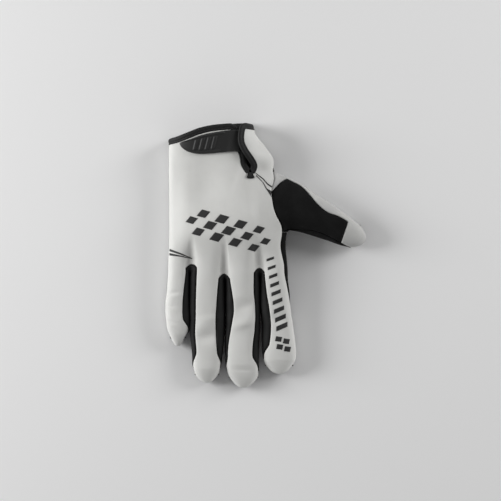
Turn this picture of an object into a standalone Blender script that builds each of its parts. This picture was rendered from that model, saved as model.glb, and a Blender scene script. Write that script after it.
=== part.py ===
"""Motocross glove for the right hand, lying palm down with its fingers toward -Y.

The skin of the glove is one net of four-sided faces. Its rows run from the cuff to the
fingertips and its columns run round the hand. Each panel of cloth takes its own faces of
that net, is cut back a little along its seams and gets its own wall thickness. A binding
runs round the cuff and the wrist slit, and a moulded pull tab lies over the back.
"""

import math

import bmesh
import bpy
from mathutils import Vector

# Driving sizes in metres. The tables below hold shares of the first five.
HAND_WIDTH = 0.100
PALM_LENGTH = 0.150
FINGER_LENGTH = 0.100
THUMB_LENGTH = 0.100
HAND_HEIGHT = 0.034

# Cloth, seams and trim.
BACK_WALL = 0.0013
PALM_WALL = 0.0015
FOURCHETTE_WALL = 0.0011
THUMB_WALL = 0.0013
SEAM_GAP = 0.0004
BINDING_WIDTH = 0.0046
BINDING_THICKNESS = 0.0026
TAB_THICKNESS = 0.0020
TAB_CLEARANCE = 0.0005
RIDGE_HEIGHT = 0.0006
FLAP_LIFT = 0.0062
WEB_DIP = 0.0012

# Section of the binding: share of its width out from the cloth's edge, share of half its
# thickness up. Corners sharper than the cosine get extra sections, turned by the share.
BINDING_PROFILE = [(0.04, 0.7), (0.18, 1.0), (0.72, 1.0), (1.0, 0.4), (1.0, -0.4),
                   (0.72, -1.0), (0.18, -1.0), (0.04, -0.7)]
SHARP_CORNER_COSINE = 0.5
CORNER_TURN = 0.6

# Least squared length that the seam gap's shift is divided by at a sharp corner.
LEAST_CORNER = 0.2

# How many faces the net has. DETAIL multiplies all of them.
DETAIL = 1
LANE = 5 * DETAIL
WEB = 2 * DETAIL
SIDE = 2 * DETAIL
CUFF_ROWS = 6 * DETAIL
THUMB_ROWS = 6 * DETAIL
KNUCKLE_ROWS = 4 * DETAIL
FINGER_ROWS = 6 * DETAIL
TIP_ROWS = 4 * DETAIL
HOLE_DEPTH = 3 * DETAIL
GREY_FACES = 5 * DETAIL
PATCH_FACES = 4 * DETAIL
HALF_RING = GREY_FACES + PATCH_FACES
THUMB_RING = 2 * (THUMB_ROWS + HOLE_DEPTH)
RING_START = 2 * THUMB_ROWS + HOLE_DEPTH

# Places on the hand, as shares of PALM_LENGTH above the finger roots.
THUMB_TOP = 0.60
SLIT_ARCH = 0.016
CUFF_RISE_START = 0.62
CUFF_RISE_LENGTH = 0.13
THUMB_CROTCH = 0.237
PALM_CROTCH = -0.114
FLAP_RISE_LENGTH = 0.12

# Form of a section: how square it is above and below, and how flat it lies.
TOP_POWER = 2.3
UNDER_POWER = 3.0
UNDER_FULLNESS = 1.12
LEFT_SEAM = 198.0
PALM_EDGE = -30.0
TIP_SEAM = -4.0
UNDER_SPREAD = 0.6
TIP_POWER = 2.2

# Webs on the palm side, as shares of the arch and the dip that they have on the back.
WEB_UNDER_ARCH = 0.6
WEB_UNDER_DIP = 0.5

# Hand sections: place (of PALM_LENGTH), left, right (of HAND_WIDTH), top, widest height
# (of HAND_HEIGHT), angle of the right seam in degrees above the widest height.
HAND = [
    (0.000, -0.513, 0.554, 0.86, 0.33, 17),
    (0.126, -0.506, 0.537, 0.95, 0.36, 25),
    (0.234, -0.504, 0.558, 0.99, 0.38, 23),
    (0.336, -0.504, 0.621, 1.00, 0.38, 44),
    (0.426, -0.504, 0.603, 0.98, 0.38, 47),
    (0.516, -0.504, 0.558, 0.93, 0.38, 41),
    (0.600, -0.504, 0.445, 0.89, 0.38, 12),
    (0.678, -0.504, 0.432, 0.86, 0.37, -10),
    (0.750, -0.504, 0.362, 0.84, 0.36, -18),
    (0.822, -0.504, 0.278, 0.82, 0.35, -18),
    (0.870, -0.504, 0.250, 0.80, 0.35, -18),
]

# Edges of the lanes that run into the fingers: place (of PALM_LENGTH), right edge of the
# little finger's lane, both edges of the ring and the middle finger's, left edge of the
# index finger's (of HAND_WIDTH). The last two also bound the wrist slit.
LANES = [
    (0.000, -0.324, -0.259, -0.036, 0.027, 0.257, 0.346),
    (0.186, -0.324, -0.270, -0.036, 0.018, 0.234, 0.324),
    (0.426, -0.324, -0.279, -0.045, -0.009, 0.190, 0.300),
    (0.600, -0.324, -0.288, -0.045, -0.018, 0.182, 0.266),
    (0.636, -0.324, -0.288, -0.054, -0.027, 0.154, 0.282),
    (0.696, -0.324, -0.297, -0.058, -0.032, 0.138, 0.232),
    (0.732, -0.324, -0.297, -0.063, -0.036, 0.116, 0.194),
    (0.786, -0.324, -0.297, -0.072, -0.045, 0.086, 0.160),
    (0.870, -0.324, -0.297, -0.081, -0.054, 0.066, 0.172),
]

# Cuff edge of the cloth: across (of HAND_WIDTH), place (of PALM_LENGTH).
CUFF_EDGE = [
    (-0.505, 0.768),
    (-0.420, 0.783),
    (-0.315, 0.810),
    (-0.220, 0.834),
    (-0.100, 0.851),
    (0.090, 0.862),
    (0.160, 0.864),
    (0.260, 0.858),
]

# Finger sections: place (of FINGER_LENGTH below the roots), left, right (of HAND_WIDTH),
# top, widest height (of HAND_HEIGHT), angles of the left and right seam of the back.
LITTLE = [
    (0.000, -0.513, -0.322, 0.66, 0.30, 198, 44),
    (0.171, -0.527, -0.322, 0.62, 0.29, 198, 58),
    (0.315, -0.540, -0.322, 0.58, 0.28, 198, 63),
    (0.459, -0.530, -0.323, 0.54, 0.27, 198, 60),
    (0.520, -0.520, -0.330, 0.50, 0.26, 198, 45),
    (0.590, -0.490, -0.362, 0.44, 0.24, 198, 20),
]
RING = [
    (0.000, -0.317, -0.003, 0.72, 0.31, 129, 44),
    (0.171, -0.317, -0.003, 0.67, 0.30, 132, 53),
    (0.400, -0.317, -0.004, 0.61, 0.29, 134, 60),
    (0.560, -0.313, -0.013, 0.57, 0.28, 137, 57),
    (0.720, -0.297, -0.026, 0.53, 0.27, 138, 48),
    (0.840, -0.290, -0.040, 0.50, 0.26, 150, 32),
    (0.918, -0.272, -0.058, 0.46, 0.25, 165, 15),
]
MIDDLE = [
    (0.000, 0.003, 0.312, 0.75, 0.31, 146, 46),
    (0.171, 0.003, 0.312, 0.69, 0.30, 131, 48),
    (0.330, 0.004, 0.312, 0.64, 0.29, 122, 41),
    (0.500, 0.006, 0.306, 0.60, 0.28, 134, 40),
    (0.700, 0.004, 0.298, 0.56, 0.27, 152, 48),
    (0.860, 0.012, 0.298, 0.52, 0.26, 156, 42),
    (0.945, 0.036, 0.296, 0.47, 0.25, 165, 15),
]
INDEX = [
    (0.000, 0.318, 0.554, 0.72, 0.31, 138, 34),
    (0.200, 0.318, 0.581, 0.66, 0.30, 126, 20),
    (0.330, 0.322, 0.589, 0.62, 0.29, 117, -6),
    (0.500, 0.336, 0.615, 0.59, 0.28, 118, -14),
    (0.700, 0.342, 0.637, 0.55, 0.27, 132, -16),
    (0.790, 0.348, 0.634, 0.51, 0.26, 142, -16),
    (0.837, 0.362, 0.610, 0.47, 0.25, 160, -10),
]
FINGERS = [LITTLE, RING, MIDDLE, INDEX]

# Fingertips: where the tip starts (of FINGER_LENGTH), how far its middle bows forward
# (of FINGER_LENGTH), height of the tip seam (of HAND_HEIGHT).
TIPS = [
    (0.555, 0.080, 0.17),
    (0.870, 0.082, 0.18),
    (0.895, 0.100, 0.19),
    (0.785, 0.084, 0.18),
]
FOURCHETTE_CLOSING = 0.14
FOURCHETTE_END = 0.86

# Finger crotches: height on the palm of the left edge, middle and right edge of the web
# on the back, as places (of PALM_LENGTH).
CROTCHES = [
    (0.024, 0.044, 0.027),
    (-0.042, -0.014, -0.042),
    (-0.006, 0.022, 0.000),
]
OUTER_ROOTS = (0.000, -0.024)

# Thumb sections: outer edge and inner edge in plan, each as reach (of THUMB_LENGTH from
# the thumb root) and place (of PALM_LENGTH), top, widest height (of HAND_HEIGHT), angles
# of the patch's outer and inner seam.
THUMB_ROOT = 0.432
THUMB = [
    (0.126, 0.568, 0.153, 0.250, 0.83, 0.37, 14, 166),
    (0.256, 0.523, 0.243, 0.238, 0.82, 0.37, 18, 158),
    (0.378, 0.471, 0.333, 0.221, 0.79, 0.36, 50, 142),
    (0.504, 0.420, 0.432, 0.200, 0.76, 0.35, 63, 138),
    (0.603, 0.374, 0.522, 0.180, 0.72, 0.34, 54, 142),
    (0.688, 0.332, 0.603, 0.161, 0.67, 0.33, 50, 150),
    (0.787, 0.277, 0.693, 0.149, 0.60, 0.31, 60, 165),
]
THUMB_BOW = 0.100
THUMB_TIP_HEIGHT = 0.24
THUMB_UNDER_SEAM = -35.0

# Soft dents and swells of the back: across (of HAND_WIDTH), along (of PALM_LENGTH above
# the roots), half width, half length (same shares), turn in degrees, rise (of HAND_HEIGHT).
DENTS = [
    (-0.18, 0.52, 0.15, 0.16, 0, -0.105),
    (-0.44, 0.42, 0.06, 0.18, 0, -0.045),
    (0.20, 0.30, 0.14, 0.12, 0, 0.030),
    (0.33, 0.66, 0.07, 0.06, 20, -0.055),
    (0.02, 0.12, 0.10, 0.06, 0, -0.040),
]

# Creases of the fingers: finger, place (of FINGER_LENGTH), side (-1 left, 0 middle,
# 1 right), half length (of FINGER_LENGTH), turn in degrees, rise (of HAND_HEIGHT). They
# fade over a share of the finger's half width, which is itself a share of FINGER_LENGTH.
CREASE_FADE = 0.9
CREASE_HALF_WIDTH = 0.1
CREASES = [
    (0, 0.20, -0.8, 0.018, 10, -0.045),
    (0, 0.31, -0.7, 0.018, 0, -0.045),
    (0, 0.44, -0.8, 0.018, -12, -0.045),
    (1, 0.42, 0.2, 0.022, 8, 0.030),
    (1, 0.58, 0.0, 0.060, 0, -0.060),
    (2, 0.30, 0.0, 0.055, 12, -0.055),
    (2, 0.47, 0.2, 0.024, 20, 0.040),
    (2, 0.88, 0.0, 0.016, 0, -0.035),
    (3, 0.42, 0.2, 0.030, 0, -0.030),
]

# Pull tab: across (of HAND_WIDTH), its upper and lower edge (of PALM_LENGTH).
TAB = [
    (-0.408, 0.772, 0.764),
    (-0.385, 0.780, 0.744),
    (-0.324, 0.795, 0.720),
    (-0.222, 0.821, 0.706),
    (-0.100, 0.838, 0.709),
    (0.000, 0.847, 0.716),
    (0.072, 0.850, 0.721),
    (0.140, 0.850, 0.719),
]
TAB_STATIONS = [0.0, 0.04, 0.12, 0.20]
TAB_RIBS = 4
TAB_RIB_START = 0.24
TAB_RIB_PITCH = 0.10
TAB_RIB_EDGE = 0.015
TAB_END_STATIONS = [0.70, 0.78, 0.86, 0.93, 1.0]
TAB_ACROSS = [(0.0, 0), (0.07, 1), (0.13, 1), (0.18, 0), (0.50, 0), (0.82, 0), (0.87, 1),
              (0.93, 1), (1.0, 0)]
TAB_RIB_MARGIN = 0.15
TAB_RIM_SPAN = (0.10, 0.68)
TAB_SLANT = 0.05
TAB_EDGE = 0.6

# Where the tab climbs from the cloth's height toward the binding's, across (of
# HAND_WIDTH), and how much of the difference it climbs.
TAB_CLIMB_START = 0.02
TAB_CLIMB_LENGTH = 0.05
TAB_CLIMB = 0.4

# Panels of cloth: wall and colour.
PANELS = {
    "back_panel": (BACK_WALL, "#e4e4e1", 0.75),
    "palm": (PALM_WALL, "#141414", 0.85),
    "fourchette_little_ring": (FOURCHETTE_WALL, "#161616", 0.80),
    "fourchette_ring_middle": (FOURCHETTE_WALL, "#161616", 0.80),
    "fourchette_middle_index": (FOURCHETTE_WALL, "#161616", 0.80),
    "thumb_back": (THUMB_WALL, "#bcbcb8", 0.75),
    "thumb_patch": (THUMB_WALL, "#151515", 0.80),
    "thumb_palm": (PALM_WALL, "#121212", 0.85),
}
FOURCHETTES = ["fourchette_little_ring", "fourchette_ring_middle", "fourchette_middle_index"]


def mix(first, second, share):
    return first + (second - first) * share


def ease(share):
    share = min(1.0, max(0.0, share))
    return share * share * (3 - 2 * share)


def read_table(rows, place):
    """Row of a table at a place between its rows, on a smooth curve through them."""
    if place <= rows[0][0]:
        return rows[0][1:]
    if place >= rows[-1][0]:
        return rows[-1][1:]
    low = max(i for i in range(len(rows) - 1) if rows[i][0] <= place)
    span = rows[low + 1][0] - rows[low][0]
    share = (place - rows[low][0]) / span
    values = []
    for column in range(1, len(rows[0])):
        start = rows[low][column]
        end = rows[low + 1][column]
        slopes = []
        for at in (low, low + 1):
            before = rows[max(at - 1, 0)]
            after = rows[min(at + 1, len(rows) - 1)]
            slopes.append((after[column] - before[column]) / (after[0] - before[0]) * span)
        bend = share * share * (3 - 2 * share)
        lift_start = share * (1 - share) ** 2 * slopes[0]
        lift_end = share * share * (share - 1) * slopes[1]
        values.append(start + (end - start) * bend + lift_start + lift_end)
    return values


def section_height(angle, top, widest):
    """Height of a flattened round section at an angle from its right edge."""
    reach = abs(math.cos(math.radians(angle)))
    if math.sin(math.radians(angle)) >= 0:
        return widest + (top - widest) * max(0.0, 1 - reach ** TOP_POWER) ** (1 / TOP_POWER)
    drop = UNDER_FULLNESS * max(0.0, 1 - reach ** UNDER_POWER) ** (1 / UNDER_POWER)
    return max(0.0, widest * (1 - drop))


def section_point(angle, left, right, top, widest, along):
    reach = math.cos(math.radians(angle))
    across = (left + right) / 2 + (right - left) / 2 * reach
    return Vector((across, along, section_height(angle, top, widest)))


def angle_of(across, left, right):
    reach = (across - (left + right) / 2) / ((right - left) / 2)
    return math.degrees(math.acos(min(1.0, max(-1.0, reach))))


def hand_row(along):
    """Section of the hand at a distance above the finger roots, in metres."""
    left, right, top, widest, seam = read_table(HAND, along / PALM_LENGTH)
    return (left * HAND_WIDTH, right * HAND_WIDTH, top * HAND_HEIGHT, widest * HAND_HEIGHT, seam)


def lane_edges(finger, along):
    """Left and right edge of a finger's lane on the back of the hand, in metres."""
    edges = read_table(LANES, along / PALM_LENGTH)
    left = edges[2 * finger - 1] * HAND_WIDTH if finger > 0 else None
    right = edges[2 * finger] * HAND_WIDTH if finger < 3 else None
    return left, right


def dent_rise(across, along):
    """How far the dents and swells of the back raise a point, in metres."""
    rise = 0.0
    for at_x, at_y, half_width, half_length, turn, height in DENTS:
        dx = across - at_x * HAND_WIDTH
        dy = along - at_y * PALM_LENGTH
        cosine = math.cos(math.radians(turn))
        sine = math.sin(math.radians(turn))
        side = (dx * cosine + dy * sine) / (half_width * HAND_WIDTH)
        ahead = (dy * cosine - dx * sine) / (half_length * PALM_LENGTH)
        rise += height * HAND_HEIGHT * math.exp(-side * side - ahead * ahead)
    return rise


def back_height(across, along):
    """Height of the back of the hand, without the lifted wrist flap."""
    left, right, top, widest, _ = hand_row(along)
    height = section_height(angle_of(across, left, right), top, widest)
    share = max(0.0, (height - widest) / (top - widest))
    return height + share * dent_rise(across, along)


def flap_rise(across, along):
    """How far the wrist flap beside the slit is lifted off the hand, in metres."""
    edge, _ = lane_edges(3, along)
    _, right, _, _, _ = hand_row(along)
    place = along / PALM_LENGTH
    rise = ease((place - THUMB_TOP) / FLAP_RISE_LENGTH)
    fall = 1 - ease((across - edge) / (right - edge))
    return FLAP_LIFT * rise * fall


def hand_top_point(finger, share, along):
    """Point of the back in a finger's lane, from its left edge (0) to its right (1)."""
    left, right, top, widest, seam = hand_row(along)
    lane_left, lane_right = lane_edges(finger, along)
    start = LEFT_SEAM if lane_left is None else angle_of(lane_left, left, right)
    end = seam if lane_right is None else angle_of(lane_right, left, right)
    point = section_point(mix(start, end, share), left, right, top, widest, along)
    return raise_back(point, top, widest, finger == 3)


def raise_back(point, top, widest, on_flap):
    share = max(0.0, (point.z - widest) / (top - widest))
    rise = share * dent_rise(point.x, point.y)
    if on_flap and point.y > THUMB_TOP * PALM_LENGTH:
        rise += flap_rise(point.x, point.y)
    return point + Vector((0, 0, rise))


def hand_under_point(finger, share, along):
    """Point of the palm in a finger's lane, from its right edge (0) to its left (1)."""
    left, right, top, widest, seam = hand_row(along)
    lane_left, lane_right = lane_edges(finger, along)
    start = seam if lane_right is None else -angle_of(lane_right, left, right)
    end = LEFT_SEAM - 360 if lane_left is None else -angle_of(lane_left, left, right)
    if finger == 3:
        share = share ** UNDER_SPREAD
    point = section_point(mix(start, end, share), left, right, top, widest, along)
    if finger == 3 and share == 0:
        return hand_top_point(3, 1, along)
    point.z = max(point.z, cuff_floor(along))
    return point


def cuff_floor(along):
    """Lowest height of the palm, which rises at the cuff to make room for the binding."""
    rise = ease((along / PALM_LENGTH - CUFF_RISE_START) / CUFF_RISE_LENGTH)
    return (BINDING_THICKNESS - BACK_WALL) / 2 * rise


def finger_row(finger, along):
    """Section of a finger at a distance above the finger roots, in metres."""
    place = max(0.0, -along / FINGER_LENGTH)
    left, right, top, widest, seam_left, seam_right = read_table(FINGERS[finger], place)
    closed = fourchette_closed(finger, along)
    if finger > 0:
        seam_left = mix(seam_left, 180 - TIP_SEAM, closed)
    if finger < 3:
        seam_right = mix(seam_right, TIP_SEAM, closed)
    return (left * HAND_WIDTH, right * HAND_WIDTH, top * HAND_HEIGHT, widest * HAND_HEIGHT,
            seam_left, seam_right)


def fourchette_closed(finger, along):
    """How far the fourchettes of a finger have narrowed toward its tip, from 0 to 1."""
    before_tip = TIPS[finger][0] + along / FINGER_LENGTH
    return FOURCHETTE_END * ease(1 - before_tip / FOURCHETTE_CLOSING)


def palm_edge(finger, along):
    """Angle of the palm's seam with a fourchette, below the finger's widest height."""
    return mix(PALM_EDGE, TIP_SEAM, fourchette_closed(finger, along))


def crease_rise(finger, reach, along):
    """How far the creases of a finger raise a point of its back, in metres."""
    rise = 0.0
    place = -along / FINGER_LENGTH
    for which, at, side, half_length, turn, height in CREASES:
        if which != finger:
            continue
        aside = reach - side
        ahead = place - at + aside * math.tan(math.radians(turn)) * CREASE_HALF_WIDTH
        fade = math.exp(-(aside / CREASE_FADE) ** 2)
        rise += height * HAND_HEIGHT * fade * math.exp(-(ahead / half_length) ** 2)
    return rise


def finger_point(finger, angle, along):
    left, right, top, widest, _, _ = finger_row(finger, along)
    point = section_point(angle, left, right, top, widest, along)
    share = max(0.0, (point.z - widest) / (top - widest))
    reach = math.cos(math.radians(angle))
    return point + Vector((0, 0, share * crease_rise(finger, reach, along)))


def top_angle(finger, share, along):
    seam_left, seam_right = finger_row(finger, along)[4:6]
    return mix(seam_left, seam_right, share)


def under_angles(finger, along):
    """Angles of the right and left edge of a finger's palm side."""
    seam_left, seam_right = finger_row(finger, along)[4:6]
    edge = palm_edge(finger, along)
    start = seam_right if finger == 3 else edge
    end = seam_left - 360 if finger == 0 else -180 - edge
    return start, end


def root_along(finger, side):
    """Place of a finger's back at its left (0) or right (1) edge, in metres."""
    if finger == 0 and side == 0:
        return OUTER_ROOTS[0] * PALM_LENGTH
    if finger == 3 and side == 1:
        return OUTER_ROOTS[1] * PALM_LENGTH
    web = CROTCHES[finger - 1 + side]
    return web[2 - 2 * side] * PALM_LENGTH


def under_root_along(finger, share):
    """Place of a finger's palm side at its root, from its right edge (0) to its left."""
    start = root_along(3, 1) if finger == 3 else PALM_CROTCH * PALM_LENGTH
    end = root_along(0, 0) if finger == 0 else PALM_CROTCH * PALM_LENGTH
    if finger == 3:
        return mix(start, end, min(1.0, 2 * share))
    if finger == 0:
        return mix(start, end, max(0.0, 2 * share - 1))
    return start


def web_point(web, across, down):
    """Point of a finger web: across from the left finger (0) to the right one (1), and
    down from the back (0) to the palm (1)."""
    left = side_point(web, 1, 0, down)
    right = side_point(web + 1, -1, 0, down)
    edge_left, middle, edge_right = CROTCHES[web]
    arch_top = (middle - (edge_left + edge_right) / 2) * PALM_LENGTH
    arch = mix(arch_top, WEB_UNDER_ARCH * arch_top, down)
    bow = 4 * across * (1 - across)
    dip = mix(-WEB_DIP, WEB_UNDER_DIP * WEB_DIP, down) * bow
    return mix(left, right, across) + Vector((0, bow * arch, dip))


def side_point(finger, side, row, down):
    """Point on a finger's side between two fingers. Side is 1 right or -1 left, row runs
    from the root to the tip's start, down from the back's seam (0) to the palm's (1)."""
    root_top = root_along(finger, 1 if side > 0 else 0)
    root_under = PALM_CROTCH * PALM_LENGTH
    end = -TIPS[finger][0] * FINGER_LENGTH
    root = mix(root_top, root_under, down)
    along = mix(root, end, row / FINGER_ROWS)
    seam_left, seam_right = finger_row(finger, along)[4:6]
    edge = palm_edge(finger, along)
    if side > 0:
        angle = mix(seam_right, edge, down)
    else:
        angle = mix(seam_left, 180 - edge, down)
    return finger_point(finger, angle, along)


def finger_tip_point(finger, angle, arc_angle, turn):
    """Point of a fingertip. Turn goes from 0 where the tip starts to 90 at its seam."""
    start, bow, seam_height = TIPS[finger]
    end = FINGERS[finger][-1][0]
    forward = math.sin(math.radians(turn))
    along = -mix(start, end, forward) * FINGER_LENGTH
    left, right, top, widest = finger_row(finger, along)[0:4]
    angle = mix(angle, arc_angle, forward ** 2)
    point = section_point(angle, left, right, top, widest, along)
    share = max(0.0, (point.z - widest) / (top - widest))
    reach = math.cos(math.radians(angle))
    point.z += share * crease_rise(finger, reach, along)
    height = seam_height * HAND_HEIGHT
    point.z = mix(height, point.z, math.cos(math.radians(turn)))
    point.y -= bow * FINGER_LENGTH * forward ** 2 * (1 - abs(reach) ** TIP_POWER)
    return point


def thumb_row(row):
    """Plan and heights of a thumb section, at a row number that may be a fraction."""
    rows = [(number,) + values for number, values in enumerate(THUMB, start=1)]
    values = read_table(rows, row)
    root = THUMB_ROOT * HAND_WIDTH
    outer = Vector((root + values[0] * THUMB_LENGTH, values[1] * PALM_LENGTH, 0))
    inner = Vector((root + values[2] * THUMB_LENGTH, values[3] * PALM_LENGTH, 0))
    return outer, inner, values[4] * HAND_HEIGHT, values[5] * HAND_HEIGHT, values[6], values[7]


def thumb_point(row, index):
    """Point of the thumb's ring, which starts at the outer end of the seam with the back."""
    station = row / DETAIL
    last = len(THUMB) - 1
    turn = max(0.0, station - last) * DETAIL / TIP_ROWS * 90
    forward = math.sin(math.radians(turn))
    outer, inner, top, widest, patch_outer, patch_inner = thumb_row(min(station, last + forward))
    around = (index - RING_START) % THUMB_RING
    if around <= GREY_FACES:
        angle = mix(THUMB_UNDER_SEAM, patch_outer, around / GREY_FACES)
    elif around <= HALF_RING:
        angle = mix(patch_outer, patch_inner, (around - GREY_FACES) / PATCH_FACES)
    else:
        angle = mix(patch_inner, 360 + THUMB_UNDER_SEAM, (around - HALF_RING) / HALF_RING)
    arc_angle = around / HALF_RING * 180
    angle = mix(angle, arc_angle, forward ** 2)
    reach = math.cos(math.radians(angle))
    middle = (outer + inner) / 2
    point = middle + (outer - inner) / 2 * reach
    point.z = section_height(angle, top, widest)
    point.z = mix(THUMB_TIP_HEIGHT * HAND_HEIGHT, point.z, math.cos(math.radians(turn)))
    ahead = Vector((outer.y - inner.y, inner.x - outer.x, 0)).normalized()
    bow = THUMB_BOW * THUMB_LENGTH * forward ** 2 * (1 - abs(reach) ** TIP_POWER)
    return point + ahead * bow


def loop_columns():
    """Columns of the net round the hand: over the back, then back across the palm."""
    columns = []
    for finger in range(4):
        columns += [("top", finger, i / LANE) for i in range(LANE + 1)]
        if finger < 3:
            columns += [("top_web", finger, i / WEB) for i in range(1, WEB)]
    for finger in (3, 2, 1, 0):
        first = 1 if finger == 3 else 0
        last = LANE if finger > 0 else LANE - 1
        columns += [("under", finger, i / LANE) for i in range(first, last + 1)]
        if finger > 0:
            columns += [("under_web", finger - 1, i / WEB) for i in range(1, WEB)]
    return columns


COLUMNS = loop_columns()
TOP_COUNT = 4 * LANE + 3 * WEB
ROOT_ROW = CUFF_ROWS + THUMB_ROWS + KNUCKLE_ROWS
THUMB_ROW = CUFF_ROWS
CROTCH_ROW = CUFF_ROWS + THUMB_ROWS


def root_point(column):
    """Point of the net in the row where the fingers start."""
    kind, which, share = COLUMNS[column]
    if kind == "top":
        along = mix(root_along(which, 0), root_along(which, 1), share)
        return finger_point(which, top_angle(which, share, along), along)
    if kind == "under":
        along = under_root_along(which, share)
        start, end = under_angles(which, along)
        return finger_point(which, mix(start, end, share), along)
    if kind == "top_web":
        return web_point(which, share, 0)
    return web_point(which, 1 - share, 1)


def hand_point(row, column):
    """Point of the net on the hand, rows counted from the cuff to the finger roots."""
    if row == ROOT_ROW:
        return root_point(column)
    root = root_point(column)
    point = root
    for _ in range(3):
        cuff_place = read_table(CUFF_EDGE, point.x / HAND_WIDTH)[0]
        if row <= THUMB_ROW:
            place = mix(cuff_place, THUMB_TOP, row / CUFF_ROWS) - slit_arch(row, column)
        elif row <= CROTCH_ROW:
            place = mix(THUMB_TOP, THUMB_CROTCH, (row - THUMB_ROW) / THUMB_ROWS)
        else:
            share = (row - CROTCH_ROW) / KNUCKLE_ROWS
            place = mix(THUMB_CROTCH, root.y / PALM_LENGTH, share)
        point = plain_hand_point(column, place * PALM_LENGTH)
    if row <= CROTCH_ROW:
        return point
    weight = ease((row - CROTCH_ROW) / KNUCKLE_ROWS)
    shaped = Vector((root.x, point.y, root.z))
    kind, which, share = COLUMNS[column]
    if kind == "top":
        shaped = finger_point(which, top_angle(which, share, root.y), point.y)
    return mix(point, shaped, weight)


def slit_arch(row, column):
    """How far the net reaches below its row under the end of the wrist slit."""
    kind, which, share = COLUMNS[column]
    if kind != "top_web" or which != 2 or row != CUFF_ROWS:
        return 0.0
    return SLIT_ARCH * 4 * share * (1 - share)


def plain_hand_point(column, along):
    kind, which, share = COLUMNS[column]
    if kind == "top":
        return hand_top_point(which, share, along)
    if kind == "under":
        return hand_under_point(which, share, along)
    if kind == "top_web":
        return mix(hand_top_point(which, 1, along), hand_top_point(which + 1, 0, along), share)
    return mix(hand_under_point(which + 1, 1, along), hand_under_point(which, 0, along), share)


def has_side(finger, side):
    return not (finger == 0 and side < 0) and not (finger == 3 and side > 0)


def finger_key(finger, row, part, index):
    """Name of a point of a finger's net. Points that two panels share have one name."""
    last = FINGER_ROWS + TIP_ROWS
    if part == "under" and row == last:
        part = "top"
        index = LANE - index
    if part == "under" and index == 0 and (row > FINGER_ROWS or finger == 3):
        part = "top"
        index = LANE
    if part == "under" and index == LANE and (row > FINGER_ROWS or finger == 0):
        part = "top"
        index = 0
    if part in ("right", "left") and index == 0:
        index = LANE if part == "right" else 0
        part = "top"
    if part in ("right", "left") and index == SIDE:
        index = 0 if part == "right" else LANE
        part = "under"
    if row == 0 and part == "top":
        return ("hand", ROOT_ROW, finger * (LANE + WEB) + index)
    if row == 0 and part == "under":
        column = TOP_COUNT + (3 - finger) * (LANE + WEB) + index
        return ("hand", ROOT_ROW, column % len(COLUMNS))
    return ("finger", finger, row, part, index)


def finger_net_point(finger, row, part, index):
    start = -TIPS[finger][0] * FINGER_LENGTH
    if part in ("right", "left"):
        return side_point(finger, 1 if part == "right" else -1, row, index / SIDE)
    share = index / LANE
    if row <= FINGER_ROWS:
        if part == "top":
            root = mix(root_along(finger, 0), root_along(finger, 1), share)
            along = mix(root, start, row / FINGER_ROWS)
            return finger_point(finger, top_angle(finger, share, along), along)
        along = mix(under_root_along(finger, share), start, row / FINGER_ROWS)
        first, last = under_angles(finger, along)
        return finger_point(finger, mix(first, last, share), along)
    turn = (row - FINGER_ROWS) / TIP_ROWS * 90
    seam_left, seam_right = finger_row(finger, start)[4:6]
    left = seam_left if finger == 0 else 180 - TIP_SEAM
    right = seam_right if finger == 3 else TIP_SEAM
    if part == "top":
        return finger_tip_point(finger, mix(left, right, share), 180 - 180 * share, turn)
    return finger_tip_point(finger, mix(right, left - 360, share), -180 * share, turn)


def thumb_key(row, index):
    """Name of a point of the thumb's net. Its first ring is the hole in the hand's net."""
    index %= THUMB_RING
    if row == 0:
        if index <= THUMB_ROWS:
            return ("hand", THUMB_ROW + index, TOP_COUNT)
        if index <= THUMB_ROWS + HOLE_DEPTH:
            return ("hand", CROTCH_ROW, TOP_COUNT + index - THUMB_ROWS)
        if index <= 2 * THUMB_ROWS + HOLE_DEPTH:
            step = index - THUMB_ROWS - HOLE_DEPTH
            return ("hand", CROTCH_ROW - step, TOP_COUNT + HOLE_DEPTH)
        return ("hand", THUMB_ROW, TOP_COUNT + THUMB_RING - index)
    last = (len(THUMB) - 1) * DETAIL + TIP_ROWS
    around = (index - RING_START) % THUMB_RING
    if row == last and around > HALF_RING:
        index = (RING_START + THUMB_RING - around) % THUMB_RING
    return ("thumb", row, index)


def key_point(key):
    if key[0] == "hand":
        return hand_point(key[1], key[2])
    if key[0] == "finger":
        return finger_net_point(*key[1:])
    if key[0] == "web":
        return web_point(key[1], key[2] / WEB, key[3] / SIDE)
    return thumb_point(key[1], key[2])


def web_key(web, across, down):
    """Name of a point of a fourchette where it turns round between two fingers."""
    if across == 0:
        return finger_key(web, 0, "right", down)
    if across == WEB:
        return finger_key(web + 1, 0, "left", down)
    if down == 0:
        return ("hand", ROOT_ROW, (web + 1) * LANE + web * WEB + across)
    if down == SIDE:
        first = TOP_COUNT + (3 - web) * LANE + (2 - web) * WEB
        return ("hand", ROOT_ROW, first + WEB - across)
    return ("web", web, across, down)


def hand_faces():
    """Faces of the hand's net, without the wrist slit and the hole for the thumb."""
    slit = range(3 * LANE + 2 * WEB, 3 * LANE + 3 * WEB)
    hole = range(TOP_COUNT, TOP_COUNT + HOLE_DEPTH)
    for row in range(ROOT_ROW):
        for column in range(len(COLUMNS)):
            if column in slit and row < CUFF_ROWS:
                continue
            if column in hole and THUMB_ROW <= row < CROTCH_ROW:
                continue
            panel = "back_panel" if column < TOP_COUNT else "palm"
            after = (column + 1) % len(COLUMNS)
            yield panel, [("hand", row, column), ("hand", row + 1, column),
                          ("hand", row + 1, after), ("hand", row, after)]


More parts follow.
